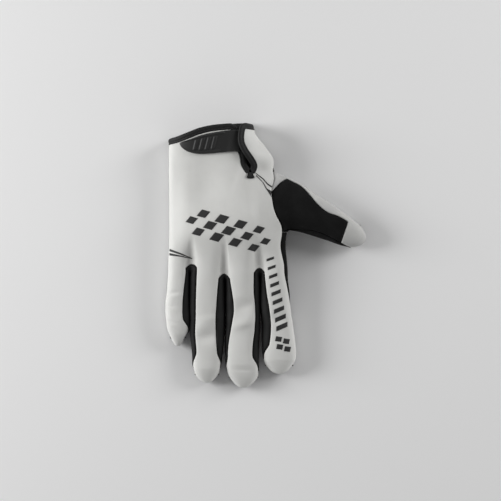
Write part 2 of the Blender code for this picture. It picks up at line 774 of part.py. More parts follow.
def finger_faces(finger):
    for row in range(FINGER_ROWS + TIP_ROWS):
        for part, panel in (("top", "back_panel"), ("under", "palm")):
            for index in range(LANE):
                yield panel, [finger_key(finger, row, part, index),
                              finger_key(finger, row + 1, part, index),
                              finger_key(finger, row + 1, part, index + 1),
                              finger_key(finger, row, part, index + 1)]
        for part, side in (("right", 1), ("left", -1)):
            if not has_side(finger, side) or row > FINGER_ROWS:
                continue
            panel = FOURCHETTES[finger if side > 0 else finger - 1]
            for index in range(SIDE):
                near = [finger_key(finger, row, part, index),
                        finger_key(finger, row, part, index + 1)]
                if row < FINGER_ROWS:
                    far = [finger_key(finger, row + 1, part, index + 1),
                           finger_key(finger, row + 1, part, index)]
                else:
                    tip = LANE if side > 0 else 0
                    far = [finger_key(finger, row + 1, "top", tip)]
                yield panel, near + far


def web_faces(web):
    for across in range(WEB):
        for down in range(SIDE):
            yield FOURCHETTES[web], [web_key(web, across, down),
                                     web_key(web, across + 1, down),
                                     web_key(web, across + 1, down + 1),
                                     web_key(web, across, down + 1)]


def thumb_faces():
    """Faces of the thumb: grey back with the tip cap, black patch, black palm side."""
    cap_row = (len(THUMB) - 1) * DETAIL
    for row in range(cap_row + TIP_ROWS):
        for index in range(THUMB_RING):
            around = (index - RING_START) % THUMB_RING
            if around >= HALF_RING:
                panel = "thumb_palm"
            elif around >= GREY_FACES and row < cap_row:
                panel = "thumb_patch"
            else:
                panel = "thumb_back"
            yield panel, [thumb_key(row, index), thumb_key(row + 1, index),
                          thumb_key(row + 1, index + 1), thumb_key(row, index + 1)]


def build_skin():
    """Net of the whole glove as a bmesh, each face marked with its panel's number."""
    net = bmesh.new()
    panel_of = net.faces.layers.int.new("panel")
    names = list(PANELS)
    verts = {}
    faces = list(hand_faces())
    for finger in range(4):
        faces += finger_faces(finger)
    for web in range(3):
        faces += web_faces(web)
    faces += thumb_faces()
    for panel, keys in faces:
        corners = []
        for key in keys:
            if key not in verts:
                verts[key] = net.verts.new(key_point(key))
            if verts[key] not in corners:
                corners.append(verts[key])
        face = net.faces.new(corners)
        face[panel_of] = names.index(panel)
    bmesh.ops.recalc_face_normals(net, faces=net.faces[:])
    net.normal_update()
    return net, panel_of, verts


def border_shift(vert, loops, distance):
    """Move along the skin that sets a border vertex back by a distance from its edges."""
    inward = []
    for loop in loops:
        direction = (loop.link_loop_next.vert.co - loop.vert.co).normalized()
        inward.append(loop.face.normal.cross(direction).normalized())
    if len(inward) == 1:
        return inward[0] * distance
    total = inward[0] + inward[1]
    length = max(total.length_squared / 2, LEAST_CORNER)
    return total * distance / length


def panel_border(net, panel_of, number):
    """Border loops of a panel's faces, gathered by the vertices at both ends."""
    loops_at = {}
    border = []
    for face in net.faces:
        if face[panel_of] != number:
            continue
        for loop in face.loops:
            others = [f for f in loop.edge.link_faces if f is not face]
            if others and others[0][panel_of] == number:
                continue
            border.append(loop)
            loops_at.setdefault(loop.vert, []).append(loop)
            loops_at.setdefault(loop.link_loop_next.vert, []).append(loop)
    return border, loops_at


def build_panel(net, panel_of, number, wall):
    """Closed body of one panel: its outer faces, its inner faces and its cut edge."""
    border, loops_at = panel_border(net, panel_of, number)
    body = bmesh.new()
    outer = {}
    inner = {}
    for face in net.faces:
        if face[panel_of] != number:
            continue
        for vert in face.verts:
            if vert in outer:
                continue
            place = vert.co.copy()
            if vert in loops_at:
                place += border_shift(vert, loops_at[vert], SEAM_GAP / 2)
            outer[vert] = body.verts.new(place)
            inner[vert] = body.verts.new(place - vert.normal * wall)
        body.faces.new([outer[vert] for vert in face.verts])
        body.faces.new([inner[vert] for vert in reversed(face.verts)])
    for loop in border:
        start = loop.vert
        end = loop.link_loop_next.vert
        body.faces.new([outer[end], outer[start], inner[start], inner[end]])
    bmesh.ops.recalc_face_normals(body, faces=body.faces[:])
    return body


def binding_path(verts):
    """Vertices of the cloth's open edge: cuff, down the slit, up again, round the palm."""
    slit_left = 3 * LANE + 2 * WEB
    slit_right = slit_left + WEB
    keys = [("hand", 0, column) for column in range(slit_left)]
    keys += [("hand", row, slit_left) for row in range(CUFF_ROWS)]
    keys += [("hand", CUFF_ROWS, column) for column in range(slit_left, slit_right)]
    keys += [("hand", row, slit_right) for row in range(CUFF_ROWS, 0, -1)]
    keys += [("hand", 0, column) for column in range(slit_right, len(COLUMNS))]
    return [verts[key] for key in keys]


def edge_outward(start, end):
    """Direction along the skin that points away from the cloth at one of its open edges."""
    edge = next(e for e in start.link_edges if e.other_vert(start) is end)
    face = edge.link_faces[0]
    along = (end.co - start.co).normalized()
    side = face.normal.cross(along).normalized()
    if side.dot(face.calc_center_median() - start.co) > 0:
        side = -side
    return side


def build_binding(verts):
    """Folded band that closes the cuff and the slit, swept along the cloth's open edge."""
    path = binding_path(verts)
    half = BINDING_THICKNESS / 2
    profile = [(out * BINDING_WIDTH, up * half) for out, up in BINDING_PROFILE]
    sections = []
    for number, vert in enumerate(path):
        before = edge_outward(path[number - 1], vert)
        after = edge_outward(vert, path[(number + 1) % len(path)])
        normal = vert.normal
        middle = (before + after).normalized()
        directions = [middle]
        if before.dot(after) < SHARP_CORNER_COSINE:
            directions = [before, mix(before, middle, CORNER_TURN).normalized(),
                          mix(after, middle, CORNER_TURN).normalized(), after]
        for direction in directions:
            direction = (direction - normal * direction.dot(normal)).normalized()
            sections.append((vert.co - normal * BACK_WALL / 2, direction, normal))
    body = bmesh.new()
    rings = []
    for centre, direction, normal in sections:
        rings.append([body.verts.new(centre + direction * out + normal * up)
                      for out, up in profile])
    for number, ring in enumerate(rings):
        following = rings[(number + 1) % len(rings)]
        for side in range(len(profile)):
            after = (side + 1) % len(profile)
            body.faces.new([ring[side], ring[after], following[after], following[side]])
    bmesh.ops.recalc_face_normals(body, faces=body.faces[:])
    return body


def tab_stations():
    """Stations along the tab, each with 1 where a rib stands and 0 elsewhere."""
    stations = [(share, 0) for share in TAB_STATIONS]
    for rib in range(TAB_RIBS):
        start = TAB_RIB_START + rib * TAB_RIB_PITCH
        end = start + TAB_RIB_PITCH / 2
        stations += [(start, 0), (start + TAB_RIB_EDGE, 1), (end, 1), (end + TAB_RIB_EDGE, 0)]
    return stations + [(share, 0) for share in TAB_END_STATIONS]


def tab_point(share, across, slant):
    """Point on the underside of the tab, draped over the back of the hand."""
    first = TAB[0][0]
    last = TAB[-1][0]
    place = mix(first, last, share)
    upper, lower = read_table(TAB, place)
    x = (place + slant * (0.5 - across)) * HAND_WIDTH
    y = mix(upper, lower, across) * PALM_LENGTH
    climb = TAB_CLIMB * ease((place - TAB_CLIMB_START) / TAB_CLIMB_LENGTH)
    seat = TAB_CLEARANCE + climb * (BINDING_THICKNESS - BACK_WALL)
    return Vector((x, y, back_height(x, y) + seat))


def build_tab():
    """Moulded pull tab with a raised rim and slanting grip ribs."""
    body = bmesh.new()
    lower = []
    upper = []
    for share, rib in tab_stations():
        slant = TAB_SLANT * math.sin(math.pi * share)
        low_row = []
        high_row = []
        for across, rim in TAB_ACROSS:
            point = tab_point(share, across, slant)
            inside = TAB_RIB_MARGIN < across < 1 - TAB_RIB_MARGIN
            raised = rim if TAB_RIM_SPAN[0] < share < TAB_RIM_SPAN[1] else 0
            if rib and inside:
                raised = 1
            thickness = TAB_THICKNESS + RIDGE_HEIGHT * raised
            if share in (0.0, 1.0) or across in (0.0, 1.0):
                thickness = TAB_EDGE * TAB_THICKNESS
            low_row.append(body.verts.new(point))
            high_row.append(body.verts.new(point + Vector((0, 0, thickness))))
        lower.append(low_row)
        upper.append(high_row)
    rows = len(lower)
    columns = len(TAB_ACROSS)
    for row in range(rows - 1):
        for column in range(columns - 1):
            for grid, turn in ((upper, 1), (lower, -1)):
                face = [grid[row][column], grid[row + 1][column],
                        grid[row + 1][column + 1], grid[row][column + 1]]
                body.faces.new(face[::turn])
    rim = [(row, 0) for row in range(rows)]
    rim += [(rows - 1, column) for column in range(1, columns)]
    rim += [(row, columns - 1) for row in range(rows - 2, -1, -1)]
    rim += [(0, column) for column in range(columns - 2, 0, -1)]
    for number, (row, column) in enumerate(rim):
        next_row, next_column = rim[(number + 1) % len(rim)]
        body.faces.new([lower[row][column], lower[next_row][next_column],
                        upper[next_row][next_column], upper[row][column]])
    bmesh.ops.recalc_face_normals(body, faces=body.faces[:])
    return body


def linear(hex_colour):
    values = []
    for start in (1, 3, 5):
        share = int(hex_colour[start:start + 2], 16) / 255
        values.append(share / 12.92 if share <= 0.04045 else ((share + 0.055) / 1.055) ** 2.4)
    return values + [1.0]


def add_object(name, body, hex_colour, roughness):
    """Object of its own from a bmesh, with a material of its own."""
    mesh = bpy.data.meshes.new(name)
    body.to_mesh(mesh)
    body.free()
    material = bpy.data.materials.new(name)
    material.use_nodes = True
    shader = material.node_tree.nodes["Principled BSDF"]
    shader.inputs["Base Color"].default_value = linear(hex_colour)
    shader.inputs["Roughness"].default_value = roughness
    shader.inputs["Metallic"].default_value = 0.0
    mesh.materials.append(material)
    mesh.shade_smooth()
    mesh.set_sharp_from_angle(angle=math.radians(40))
    made = bpy.data.objects.new(name, mesh)
    bpy.context.scene.collection.objects.link(made)
    return made


def stand_on_origin(objects):
    """Shift all pieces so that the origin is the middle of the glove's underside."""
    corners = [vertex.co for made in objects for vertex in made.data.vertices]
    low = Vector([min(corner[axis] for corner in corners) for axis in range(3)])
    high = Vector([max(corner[axis] for corner in corners) for axis in range(3)])
    shift = -Vector(((low.x + high.x) / 2, (low.y + high.y) / 2, low.z))
    for made in objects:
        for vertex in made.data.vertices:
            vertex.co += shift


def build_glove():
    for old in list(bpy.data.objects):
        bpy.data.objects.remove(old, do_unlink=True)
    net, panel_of, verts = build_skin()
    made = []
    for number, (name, (wall, hex_colour, roughness)) in enumerate(PANELS.items()):
        made.append(add_object(name, build_panel(net, panel_of, number, wall), hex_colour,
                               roughness))
    made.append(add_object("cuff_binding", build_binding(verts), "#131313", 0.70))
    made.append(add_object("pull_tab", build_tab(), "#1f1f1f", 0.60))
    net.free()
    stand_on_origin(made)


build_glove()
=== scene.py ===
"""Looks of a motocross glove for the right hand, lying palm down.

The cloth panels are laid out again from the glove's own drawing, finer than in the CAD
model, and get their seams, folds, prints and stitching here. The drawing has its zero at
the finger roots; +Y runs to the cuff and +X to the thumb.
"""

import math

import bmesh
import bpy
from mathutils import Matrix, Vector, noise
from mathutils.bvhtree import BVHTree
from mathutils.kdtree import KDTree


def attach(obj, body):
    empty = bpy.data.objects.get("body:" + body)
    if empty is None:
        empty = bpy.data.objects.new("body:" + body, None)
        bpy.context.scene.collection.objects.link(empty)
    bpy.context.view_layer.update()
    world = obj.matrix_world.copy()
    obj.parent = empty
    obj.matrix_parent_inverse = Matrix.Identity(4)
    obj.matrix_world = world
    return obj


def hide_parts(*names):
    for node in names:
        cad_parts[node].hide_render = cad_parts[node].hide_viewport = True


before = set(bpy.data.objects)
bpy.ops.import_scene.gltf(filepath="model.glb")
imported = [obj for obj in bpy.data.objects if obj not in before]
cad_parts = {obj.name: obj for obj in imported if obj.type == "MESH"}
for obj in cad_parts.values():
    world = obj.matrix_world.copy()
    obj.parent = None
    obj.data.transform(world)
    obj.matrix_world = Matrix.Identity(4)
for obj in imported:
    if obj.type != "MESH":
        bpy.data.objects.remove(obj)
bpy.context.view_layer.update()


# Back panel: one piece of white stretch knit over the back of the hand and the backs of
# the four fingers. It is cut flat and sewn edge to edge to the black panels, so its edges
# roll down into the seams and the empty glove leaves soft folds in it.
HAND_WIDTH = 0.100
PALM_LENGTH = 0.150
FINGER_LENGTH = 0.100
HAND_HEIGHT = 0.034
FROM_DRAWING = Vector((-0.036513, -0.015224, 0.0))

BACK_WALL = 0.0013
SEAM_GAP = 0.0004
SEAM_ROLL = 0.0016
SEAM_DROP = 0.0007
PUCKER_PITCH = 0.007
PUCKER_REACH = 0.005
PUCKER_DEPTH = 0.00035
PUCKER_PEAK = 0.4
SLACK_PITCH = 0.022
SLACK_DEPTH = 0.00025
FOLD_AT_SEAM = 0.4
FOLD_LEAN = (0.1, 0.7)

DETAIL = 6
LANE = 5 * DETAIL
WEB = 2 * DETAIL
SIDE = 2 * DETAIL
HOLE_DEPTH = 3 * DETAIL
CUFF_ROWS = 6 * DETAIL
THUMB_ROWS = 6 * DETAIL
KNUCKLE_ROWS = 4 * DETAIL
FINGER_ROWS = 6 * DETAIL
TIP_ROWS = 4 * DETAIL

THUMB_TOP = 0.60
SLIT_ARCH = 0.016
THUMB_CROTCH = 0.237
PALM_CROTCH = -0.114
FLAP_LIFT = 0.0062
FLAP_RISE_LENGTH = 0.12
TOP_POWER = 2.3
UNDER_POWER = 3.0
UNDER_FULLNESS = 1.12
LEFT_SEAM = 198.0
PALM_EDGE = -30.0
TIP_SEAM = -4.0
TIP_POWER = 2.2

# Hand sections: place (of PALM_LENGTH), left, right (of HAND_WIDTH), top, widest height
# (of HAND_HEIGHT), angle of the right seam in degrees above the widest height.
HAND = [
    (0.000, -0.513, 0.554, 0.86, 0.33, 17),
    (0.126, -0.506, 0.537, 0.95, 0.36, 25),
    (0.234, -0.504, 0.558, 0.99, 0.38, 23),
    (0.336, -0.504, 0.621, 1.00, 0.38, 44),
    (0.426, -0.504, 0.603, 0.98, 0.38, 47),
    (0.516, -0.504, 0.558, 0.93, 0.38, 41),
    (0.600, -0.504, 0.445, 0.89, 0.38, 12),
    (0.678, -0.504, 0.432, 0.86, 0.37, -10),
    (0.750, -0.504, 0.362, 0.84, 0.36, -18),
    (0.822, -0.504, 0.278, 0.82, 0.35, -18),
    (0.870, -0.504, 0.250, 0.80, 0.35, -18),
]

# Edges of the lanes that run into the fingers: place (of PALM_LENGTH), right edge of the
# little finger's lane, both edges of the ring and the middle finger's, left edge of the
# index finger's (of HAND_WIDTH). The last two also bound the wrist slit.
LANES = [
    (0.000, -0.324, -0.259, -0.036, 0.027, 0.257, 0.346),
    (0.186, -0.324, -0.270, -0.036, 0.018, 0.234, 0.324),
    (0.426, -0.324, -0.279, -0.045, -0.009, 0.190, 0.300),
    (0.600, -0.324, -0.288, -0.045, -0.018, 0.182, 0.266),
    (0.636, -0.324, -0.288, -0.054, -0.027, 0.154, 0.282),
    (0.696, -0.324, -0.297, -0.058, -0.032, 0.138, 0.232),
    (0.732, -0.324, -0.297, -0.063, -0.036, 0.116, 0.194),
    (0.786, -0.324, -0.297, -0.072, -0.045, 0.086, 0.160),
    (0.870, -0.324, -0.297, -0.081, -0.054, 0.066, 0.172),
]

# Cuff edge of the cloth: across (of HAND_WIDTH), place (of PALM_LENGTH).
CUFF_EDGE = [
    (-0.505, 0.768),
    (-0.420, 0.783),
    (-0.315, 0.810),
    (-0.220, 0.834),
    (-0.100, 0.851),
    (0.090, 0.862),
    (0.160, 0.864),
    (0.260, 0.858),
]

# Finger sections: place (of FINGER_LENGTH below the roots), left, right (of HAND_WIDTH),
# top, widest height (of HAND_HEIGHT), angles of the left and right seam of the back.
LITTLE = [
    (0.000, -0.513, -0.322, 0.66, 0.30, 198, 44),
    (0.171, -0.527, -0.322, 0.62, 0.29, 198, 58),
    (0.315, -0.540, -0.322, 0.58, 0.28, 198, 63),
    (0.459, -0.530, -0.323, 0.54, 0.27, 198, 60),
    (0.520, -0.520, -0.330, 0.50, 0.26, 198, 45),
    (0.590, -0.490, -0.362, 0.44, 0.24, 198, 20),
]
RING = [
    (0.000, -0.317, -0.003, 0.72, 0.31, 129, 44),
    (0.171, -0.317, -0.003, 0.67, 0.30, 132, 53),
    (0.400, -0.317, -0.004, 0.61, 0.29, 134, 60),
    (0.560, -0.313, -0.013, 0.57, 0.28, 137, 57),
    (0.720, -0.297, -0.026, 0.53, 0.27, 138, 48),
    (0.840, -0.290, -0.040, 0.50, 0.26, 150, 32),
    (0.918, -0.272, -0.058, 0.46, 0.25, 165, 15),
]
MIDDLE = [
    (0.000, 0.003, 0.312, 0.75, 0.31, 146, 46),
    (0.171, 0.003, 0.312, 0.69, 0.30, 131, 48),
    (0.330, 0.004, 0.312, 0.64, 0.29, 122, 41),
    (0.500, 0.006, 0.306, 0.60, 0.28, 134, 40),
    (0.700, 0.004, 0.298, 0.56, 0.27, 152, 48),
    (0.860, 0.012, 0.298, 0.52, 0.26, 156, 42),
    (0.945, 0.036, 0.296, 0.47, 0.25, 165, 15),
]
INDEX = [
    (0.000, 0.318, 0.554, 0.72, 0.31, 138, 34),
    (0.200, 0.318, 0.581, 0.66, 0.30, 126, 20),
    (0.330, 0.322, 0.589, 0.62, 0.29, 117, -6),
    (0.500, 0.336, 0.615, 0.59, 0.28, 118, -14),
    (0.700, 0.342, 0.637, 0.55, 0.27, 132, -16),
    (0.790, 0.348, 0.634, 0.51, 0.26, 142, -16),
    (0.837, 0.362, 0.610, 0.47, 0.25, 160, -10),
]
FINGERS = [LITTLE, RING, MIDDLE, INDEX]

# Fingertips: where the tip starts (of FINGER_LENGTH), how far its middle bows forward
# (of FINGER_LENGTH), height of the tip seam (of HAND_HEIGHT).
TIPS = [
    (0.555, 0.080, 0.17),
    (0.870, 0.082, 0.18),
    (0.895, 0.100, 0.19),
    (0.785, 0.084, 0.18),
]
FOURCHETTE_CLOSING = 0.14
FOURCHETTE_END = 0.86
OUTER_ROOTS = (0.000, -0.024)
WEB_DIP = 0.0012
WEB_UNDER_ARCH = 0.6
WEB_UNDER_DIP = 0.5

# Finger crotches: height on the palm of the left edge, middle and right edge of the web
# on the back, as places (of PALM_LENGTH).
CROTCHES = [
    (0.024, 0.044, 0.027),
    (-0.042, -0.014, -0.042),
    (-0.006, 0.022, 0.000),
]

# Soft dents and swells of the back: across (of HAND_WIDTH), along (of PALM_LENGTH above
# the roots), half width, half length (same shares), turn in degrees, rise (of HAND_HEIGHT).
DENTS = [
    (-0.18, 0.52, 0.15, 0.16, 0, -0.105),
    (-0.44, 0.42, 0.06, 0.18, 0, -0.045),
    (0.20, 0.30, 0.14, 0.12, 0, 0.030),
    (0.33, 0.66, 0.07, 0.06, 20, -0.055),
    (0.02, 0.12, 0.10, 0.06, 0, -0.040),
]

# Creases of the fingers: finger, place (of FINGER_LENGTH), side (-1 left, 0 middle,
# 1 right), half length (of FINGER_LENGTH), turn in degrees, rise (of HAND_HEIGHT).
CREASE_FADE = 0.9
CREASE_HALF_WIDTH = 0.1
CREASES = [
    (0, 0.20, -0.8, 0.018, 10, -0.045),
    (0, 0.31, -0.7, 0.018, 0, -0.045),
    (0, 0.44, -0.8, 0.018, -12, -0.045),
    (1, 0.42, 0.2, 0.022, 8, 0.030),
    (1, 0.58, 0.0, 0.060, 0, -0.060),
    (2, 0.30, 0.0, 0.055, 12, -0.055),
    (2, 0.47, 0.2, 0.024, 20, 0.040),
    (2, 0.88, 0.0, 0.016, 0, -0.035),
    (3, 0.42, 0.2, 0.030, 0, -0.030),
]

# Folds that the empty cloth has fallen into, in millimetres from the finger roots: across,
# along, half length of the fold, its soft side, its steep side, turn in degrees of its
# length from +X, rise. The steep side lies to the left of its length.
FOLDS = [
    (-47, 62, 34, 9, 5, 84, -0.9),
    (-30, 92, 18, 12, 6, 25, -0.7),
    (14, 84, 16, 8, 4, 70, 0.6),
    (31, 50, 22, 8, 6, 95, 0.9),
    (26, 8, 26, 5, 5, 80, -1.2),
    (-4, 4, 22, 5, 5, 88, -1.0),
    (-29, 6, 20, 5, 5, 92, -1.0),
    (38, 102, 10, 5, 4, 40, -0.8),
    (32, 92, 9, 6, 5, 130, -0.7),
    (-46, -21, 8, 3, 2, 8, 0.6),
    (-46, -31, 9, 3, 2, 0, 0.7),
    (-45, -44, 8, 3, 2, -14, 0.6),
    (-18, -46, 9, 6, 3, 12, 0.9),
    (-16, -58, 10, 5, 4, 10, -0.9),
    (-14, -86, 9, 6, 4, 0, 0.6),
    (16, -33, 10, 7, 3, 22, -1.0),
    (17, -44, 12, 5, 3, 24, 1.1),
    (18, -90, 10, 4, 3, -4, -0.8),
    (46, -42, 9, 6, 4, 10, -0.6),
    (48, -66, 9, 7, 5, -8, 0.5),
]


def mix(first, second, share):
    return first + (second - first) * share


def ease(share):
    share = min(1.0, max(0.0, share))
    return share * share * (3 - 2 * share)


def read_table(rows, place):
    """Row of a table at a place between its rows, on a smooth curve through them."""
    if place <= rows[0][0]:
        return rows[0][1:]
    if place >= rows[-1][0]:
        return rows[-1][1:]
    low = max(i for i in range(len(rows) - 1) if rows[i][0] <= place)
    span = rows[low + 1][0] - rows[low][0]
    share = (place - rows[low][0]) / span
    values = []
    for column in range(1, len(rows[0])):
        start = rows[low][column]
        end = rows[low + 1][column]
        slopes = []
        for at in (low, low + 1):
            before = rows[max(at - 1, 0)]
            after = rows[min(at + 1, len(rows) - 1)]
            slopes.append((after[column] - before[column]) / (after[0] - before[0]) * span)
        bend = share * share * (3 - 2 * share)
        lift_start = share * (1 - share) ** 2 * slopes[0]
        lift_end = share * share * (share - 1) * slopes[1]
        values.append(start + (end - start) * bend + lift_start + lift_end)
    return values


def section_height(angle, top, widest):
    """Height of a flattened round section at an angle from its right edge."""
    reach = abs(math.cos(math.radians(angle)))
    if math.sin(math.radians(angle)) >= 0:
        return widest + (top - widest) * max(0.0, 1 - reach ** TOP_POWER) ** (1 / TOP_POWER)
    drop = UNDER_FULLNESS * max(0.0, 1 - reach ** UNDER_POWER) ** (1 / UNDER_POWER)
    return max(0.0, widest * (1 - drop))


def section_point(angle, left, right, top, widest, along):
    reach = math.cos(math.radians(angle))
    across = (left + right) / 2 + (right - left) / 2 * reach
    return Vector((across, along, section_height(angle, top, widest)))


def angle_of(across, left, right):
    reach = (across - (left + right) / 2) / ((right - left) / 2)
    return math.degrees(math.acos(min(1.0, max(-1.0, reach))))


def hand_row(along):
    """Section of the hand at a distance above the finger roots, in metres."""
    left, right, top, widest, seam = read_table(HAND, along / PALM_LENGTH)
    return (left * HAND_WIDTH, right * HAND_WIDTH, top * HAND_HEIGHT, widest * HAND_HEIGHT, seam)


def lane_edges(finger, along):
    """Left and right edge of a finger's lane on the back of the hand, in metres."""
    edges = read_table(LANES, along / PALM_LENGTH)
    left = edges[2 * finger - 1] * HAND_WIDTH if finger > 0 else None
    right = edges[2 * finger] * HAND_WIDTH if finger < 3 else None
    return left, right


def dent_rise(across, along):
    """How far the dents and swells of the back raise a point, in metres."""
    rise = 0.0
    for at_x, at_y, half_width, half_length, turn, height in DENTS:
        dx = across - at_x * HAND_WIDTH
        dy = along - at_y * PALM_LENGTH
        cosine = math.cos(math.radians(turn))
        sine = math.sin(math.radians(turn))
        side = (dx * cosine + dy * sine) / (half_width * HAND_WIDTH)
        ahead = (dy * cosine - dx * sine) / (half_length * PALM_LENGTH)
        rise += height * HAND_HEIGHT * math.exp(-side * side - ahead * ahead)
    return rise


def back_height(across, along):
    """Height of the back of the hand, without the lifted wrist flap."""
    left, right, top, widest, _ = hand_row(along)
    height = section_height(angle_of(across, left, right), top, widest)
    share = max(0.0, (height - widest) / (top - widest))
    return height + share * dent_rise(across, along)


def flap_rise(across, along):
    """How far the wrist flap beside the slit is lifted off the hand, in metres."""
    edge, _ = lane_edges(3, along)
    _, right, _, _, _ = hand_row(along)
    rise = ease((along / PALM_LENGTH - THUMB_TOP) / FLAP_RISE_LENGTH)
    fall = 1 - ease((across - edge) / (right - edge))
    return FLAP_LIFT * rise * fall


def raise_back(point, top, widest, on_flap):
    share = max(0.0, (point.z - widest) / (top - widest))
    rise = share * dent_rise(point.x, point.y)
    if on_flap and point.y > THUMB_TOP * PALM_LENGTH:
        rise += flap_rise(point.x, point.y)
    return point + Vector((0, 0, rise))


def hand_top_point(finger, share, along):
    """Point of the back in a finger's lane, from its left edge (0) to its right (1)."""
    left, right, top, widest, seam = hand_row(along)
    lane_left, lane_right = lane_edges(finger, along)
    start = LEFT_SEAM if lane_left is None else angle_of(lane_left, left, right)
    end = seam if lane_right is None else angle_of(lane_right, left, right)
    point = section_point(mix(start, end, share), left, right, top, widest, along)
    return raise_back(point, top, widest, finger == 3)


def fourchette_closed(finger, along):
    """How far the fourchettes of a finger have narrowed toward its tip, from 0 to 1."""
    before_tip = TIPS[finger][0] + along / FINGER_LENGTH
    return FOURCHETTE_END * ease(1 - before_tip / FOURCHETTE_CLOSING)


def finger_row(finger, along):
    """Section of a finger at a distance above the finger roots, in metres."""
    place = max(0.0, -along / FINGER_LENGTH)
    left, right, top, widest, seam_left, seam_right = read_table(FINGERS[finger], place)
    closed = fourchette_closed(finger, along)
    if finger > 0:
        seam_left = mix(seam_left, 180 - TIP_SEAM, closed)
    if finger < 3:
        seam_right = mix(seam_right, TIP_SEAM, closed)
    return (left * HAND_WIDTH, right * HAND_WIDTH, top * HAND_HEIGHT, widest * HAND_HEIGHT,
            seam_left, seam_right)


def crease_rise(finger, reach, along):
    """How far the creases of a finger raise a point of its back, in metres."""
    rise = 0.0
    place = -along / FINGER_LENGTH
    for which, at, side, half_length, turn, height in CREASES:
        if which != finger:
            continue
        aside = reach - side
        ahead = place - at + aside * math.tan(math.radians(turn)) * CREASE_HALF_WIDTH
        fade = math.exp(-(aside / CREASE_FADE) ** 2)
        rise += height * HAND_HEIGHT * fade * math.exp(-(ahead / half_length) ** 2)
    return rise


def finger_point(finger, angle, along):
    left, right, top, widest, _, _ = finger_row(finger, along)
    point = section_point(angle, left, right, top, widest, along)
    share = max(0.0, (point.z - widest) / (top - widest))
    reach = math.cos(math.radians(angle))
    return point + Vector((0, 0, share * crease_rise(finger, reach, along)))


def top_angle(finger, share, along):
    seam_left, seam_right = finger_row(finger, along)[4:6]
    return mix(seam_left, seam_right, share)


def root_along(finger, side):
    """Place of a finger's back at its left (0) or right (1) edge, in metres."""
    if finger == 0 and side == 0:
        return OUTER_ROOTS[0] * PALM_LENGTH
    if finger == 3 and side == 1:
        return OUTER_ROOTS[1] * PALM_LENGTH
    web = CROTCHES[finger - 1 + side]
    return web[2 - 2 * side] * PALM_LENGTH


def palm_edge(finger, along):
    """Angle of the palm's seam with a fourchette, below the finger's widest height."""
    return mix(PALM_EDGE, TIP_SEAM, fourchette_closed(finger, along))


def side_point(finger, side, row, down):
    """Point on a finger's side between two fingers. Side is 1 right or -1 left, row runs
    from the root to the tip's start, down from the back's seam (0) to the palm's (1)."""
    root = mix(root_along(finger, 1 if side > 0 else 0), PALM_CROTCH * PALM_LENGTH, down)
    along = mix(root, -TIPS[finger][0] * FINGER_LENGTH, row / FINGER_ROWS)
    seam_left, seam_right = finger_row(finger, along)[4:6]
    edge = palm_edge(finger, along)
    angle = mix(seam_right, edge, down) if side > 0 else mix(seam_left, 180 - edge, down)
    return finger_point(finger, angle, along)


def web_point(web, across, down):
    """Point of a finger web: across from the left finger (0) to the right one (1), and
    down from the back (0) to the palm (1)."""
    left = side_point(web, 1, 0, down)
    right = side_point(web + 1, -1, 0, down)
    edge_left, middle, edge_right = CROTCHES[web]
    arch_top = (middle - (edge_left + edge_right) / 2) * PALM_LENGTH
    arch = mix(arch_top, WEB_UNDER_ARCH * arch_top, down)
    bow = 4 * across * (1 - across)
    dip = mix(-WEB_DIP, WEB_UNDER_DIP * WEB_DIP, down) * bow
    return mix(left, right, across) + Vector((0, bow * arch, dip))


def finger_tip_point(finger, angle, arc_angle, turn):
    """Point of a fingertip. Turn goes from 0 where the tip starts to 90 at its seam."""
    start, bow, seam_height = TIPS[finger]
    end = FINGERS[finger][-1][0]
    forward = math.sin(math.radians(turn))
    along = -mix(start, end, forward) * FINGER_LENGTH
    left, right, top, widest = finger_row(finger, along)[0:4]
    angle = mix(angle, arc_angle, forward ** 2)
    point = section_point(angle, left, right, top, widest, along)
    share = max(0.0, (point.z - widest) / (top - widest))
    reach = math.cos(math.radians(angle))
    point.z += share * crease_rise(finger, reach, along)
    height = seam_height * HAND_HEIGHT
    point.z = mix(height, point.z, math.cos(math.radians(turn)))
    point.y -= bow * FINGER_LENGTH * forward ** 2 * (1 - abs(reach) ** TIP_POWER)
    return point


def finger_top_point(finger, row, share):
    start = -TIPS[finger][0] * FINGER_LENGTH
    if row <= FINGER_ROWS:
        root = mix(root_along(finger, 0), root_along(finger, 1), share)
        along = mix(root, start, row / FINGER_ROWS)
        return finger_point(finger, top_angle(finger, share, along), along)
    turn = (row - FINGER_ROWS) / TIP_ROWS * 90
    left, right = tip_seams(finger)
    return finger_tip_point(finger, mix(left, right, share), 180 - 180 * share, turn)


def tip_seams(finger):
    seam_left, seam_right = finger_row(finger, -TIPS[finger][0] * FINGER_LENGTH)[4:6]
    left = seam_left if finger == 0 else 180 - TIP_SEAM
    right = seam_right if finger == 3 else TIP_SEAM
    return left, right


# Columns of the cloth round the hand, over the back first. The palm's come with the palm.
TOP_COLUMNS = []
for finger in range(4):
    TOP_COLUMNS += [("top", finger, i / LANE) for i in range(LANE + 1)]
    if finger < 3:
        TOP_COLUMNS += [("top_web", finger, i / WEB) for i in range(1, WEB)]
UNDER_COLUMNS = []
for finger in (3, 2, 1, 0):
    first = 1 if finger == 3 else 0
    last = LANE if finger > 0 else LANE - 1
    UNDER_COLUMNS += [("under", finger, i / LANE) for i in range(first, last + 1)]
    if finger > 0:
        UNDER_COLUMNS += [("under_web", finger - 1, i / WEB) for i in range(1, WEB)]
COLUMNS = TOP_COLUMNS + UNDER_COLUMNS
TOP_COUNT = len(TOP_COLUMNS) - 1
ROOT_ROW = CUFF_ROWS + THUMB_ROWS + KNUCKLE_ROWS
THUMB_ROW = CUFF_ROWS
CROTCH_ROW = CUFF_ROWS + THUMB_ROWS
SLIT_LEFT = 3 * LANE + 2 * WEB
SLIT_RIGHT = SLIT_LEFT + WEB
root_points = {}


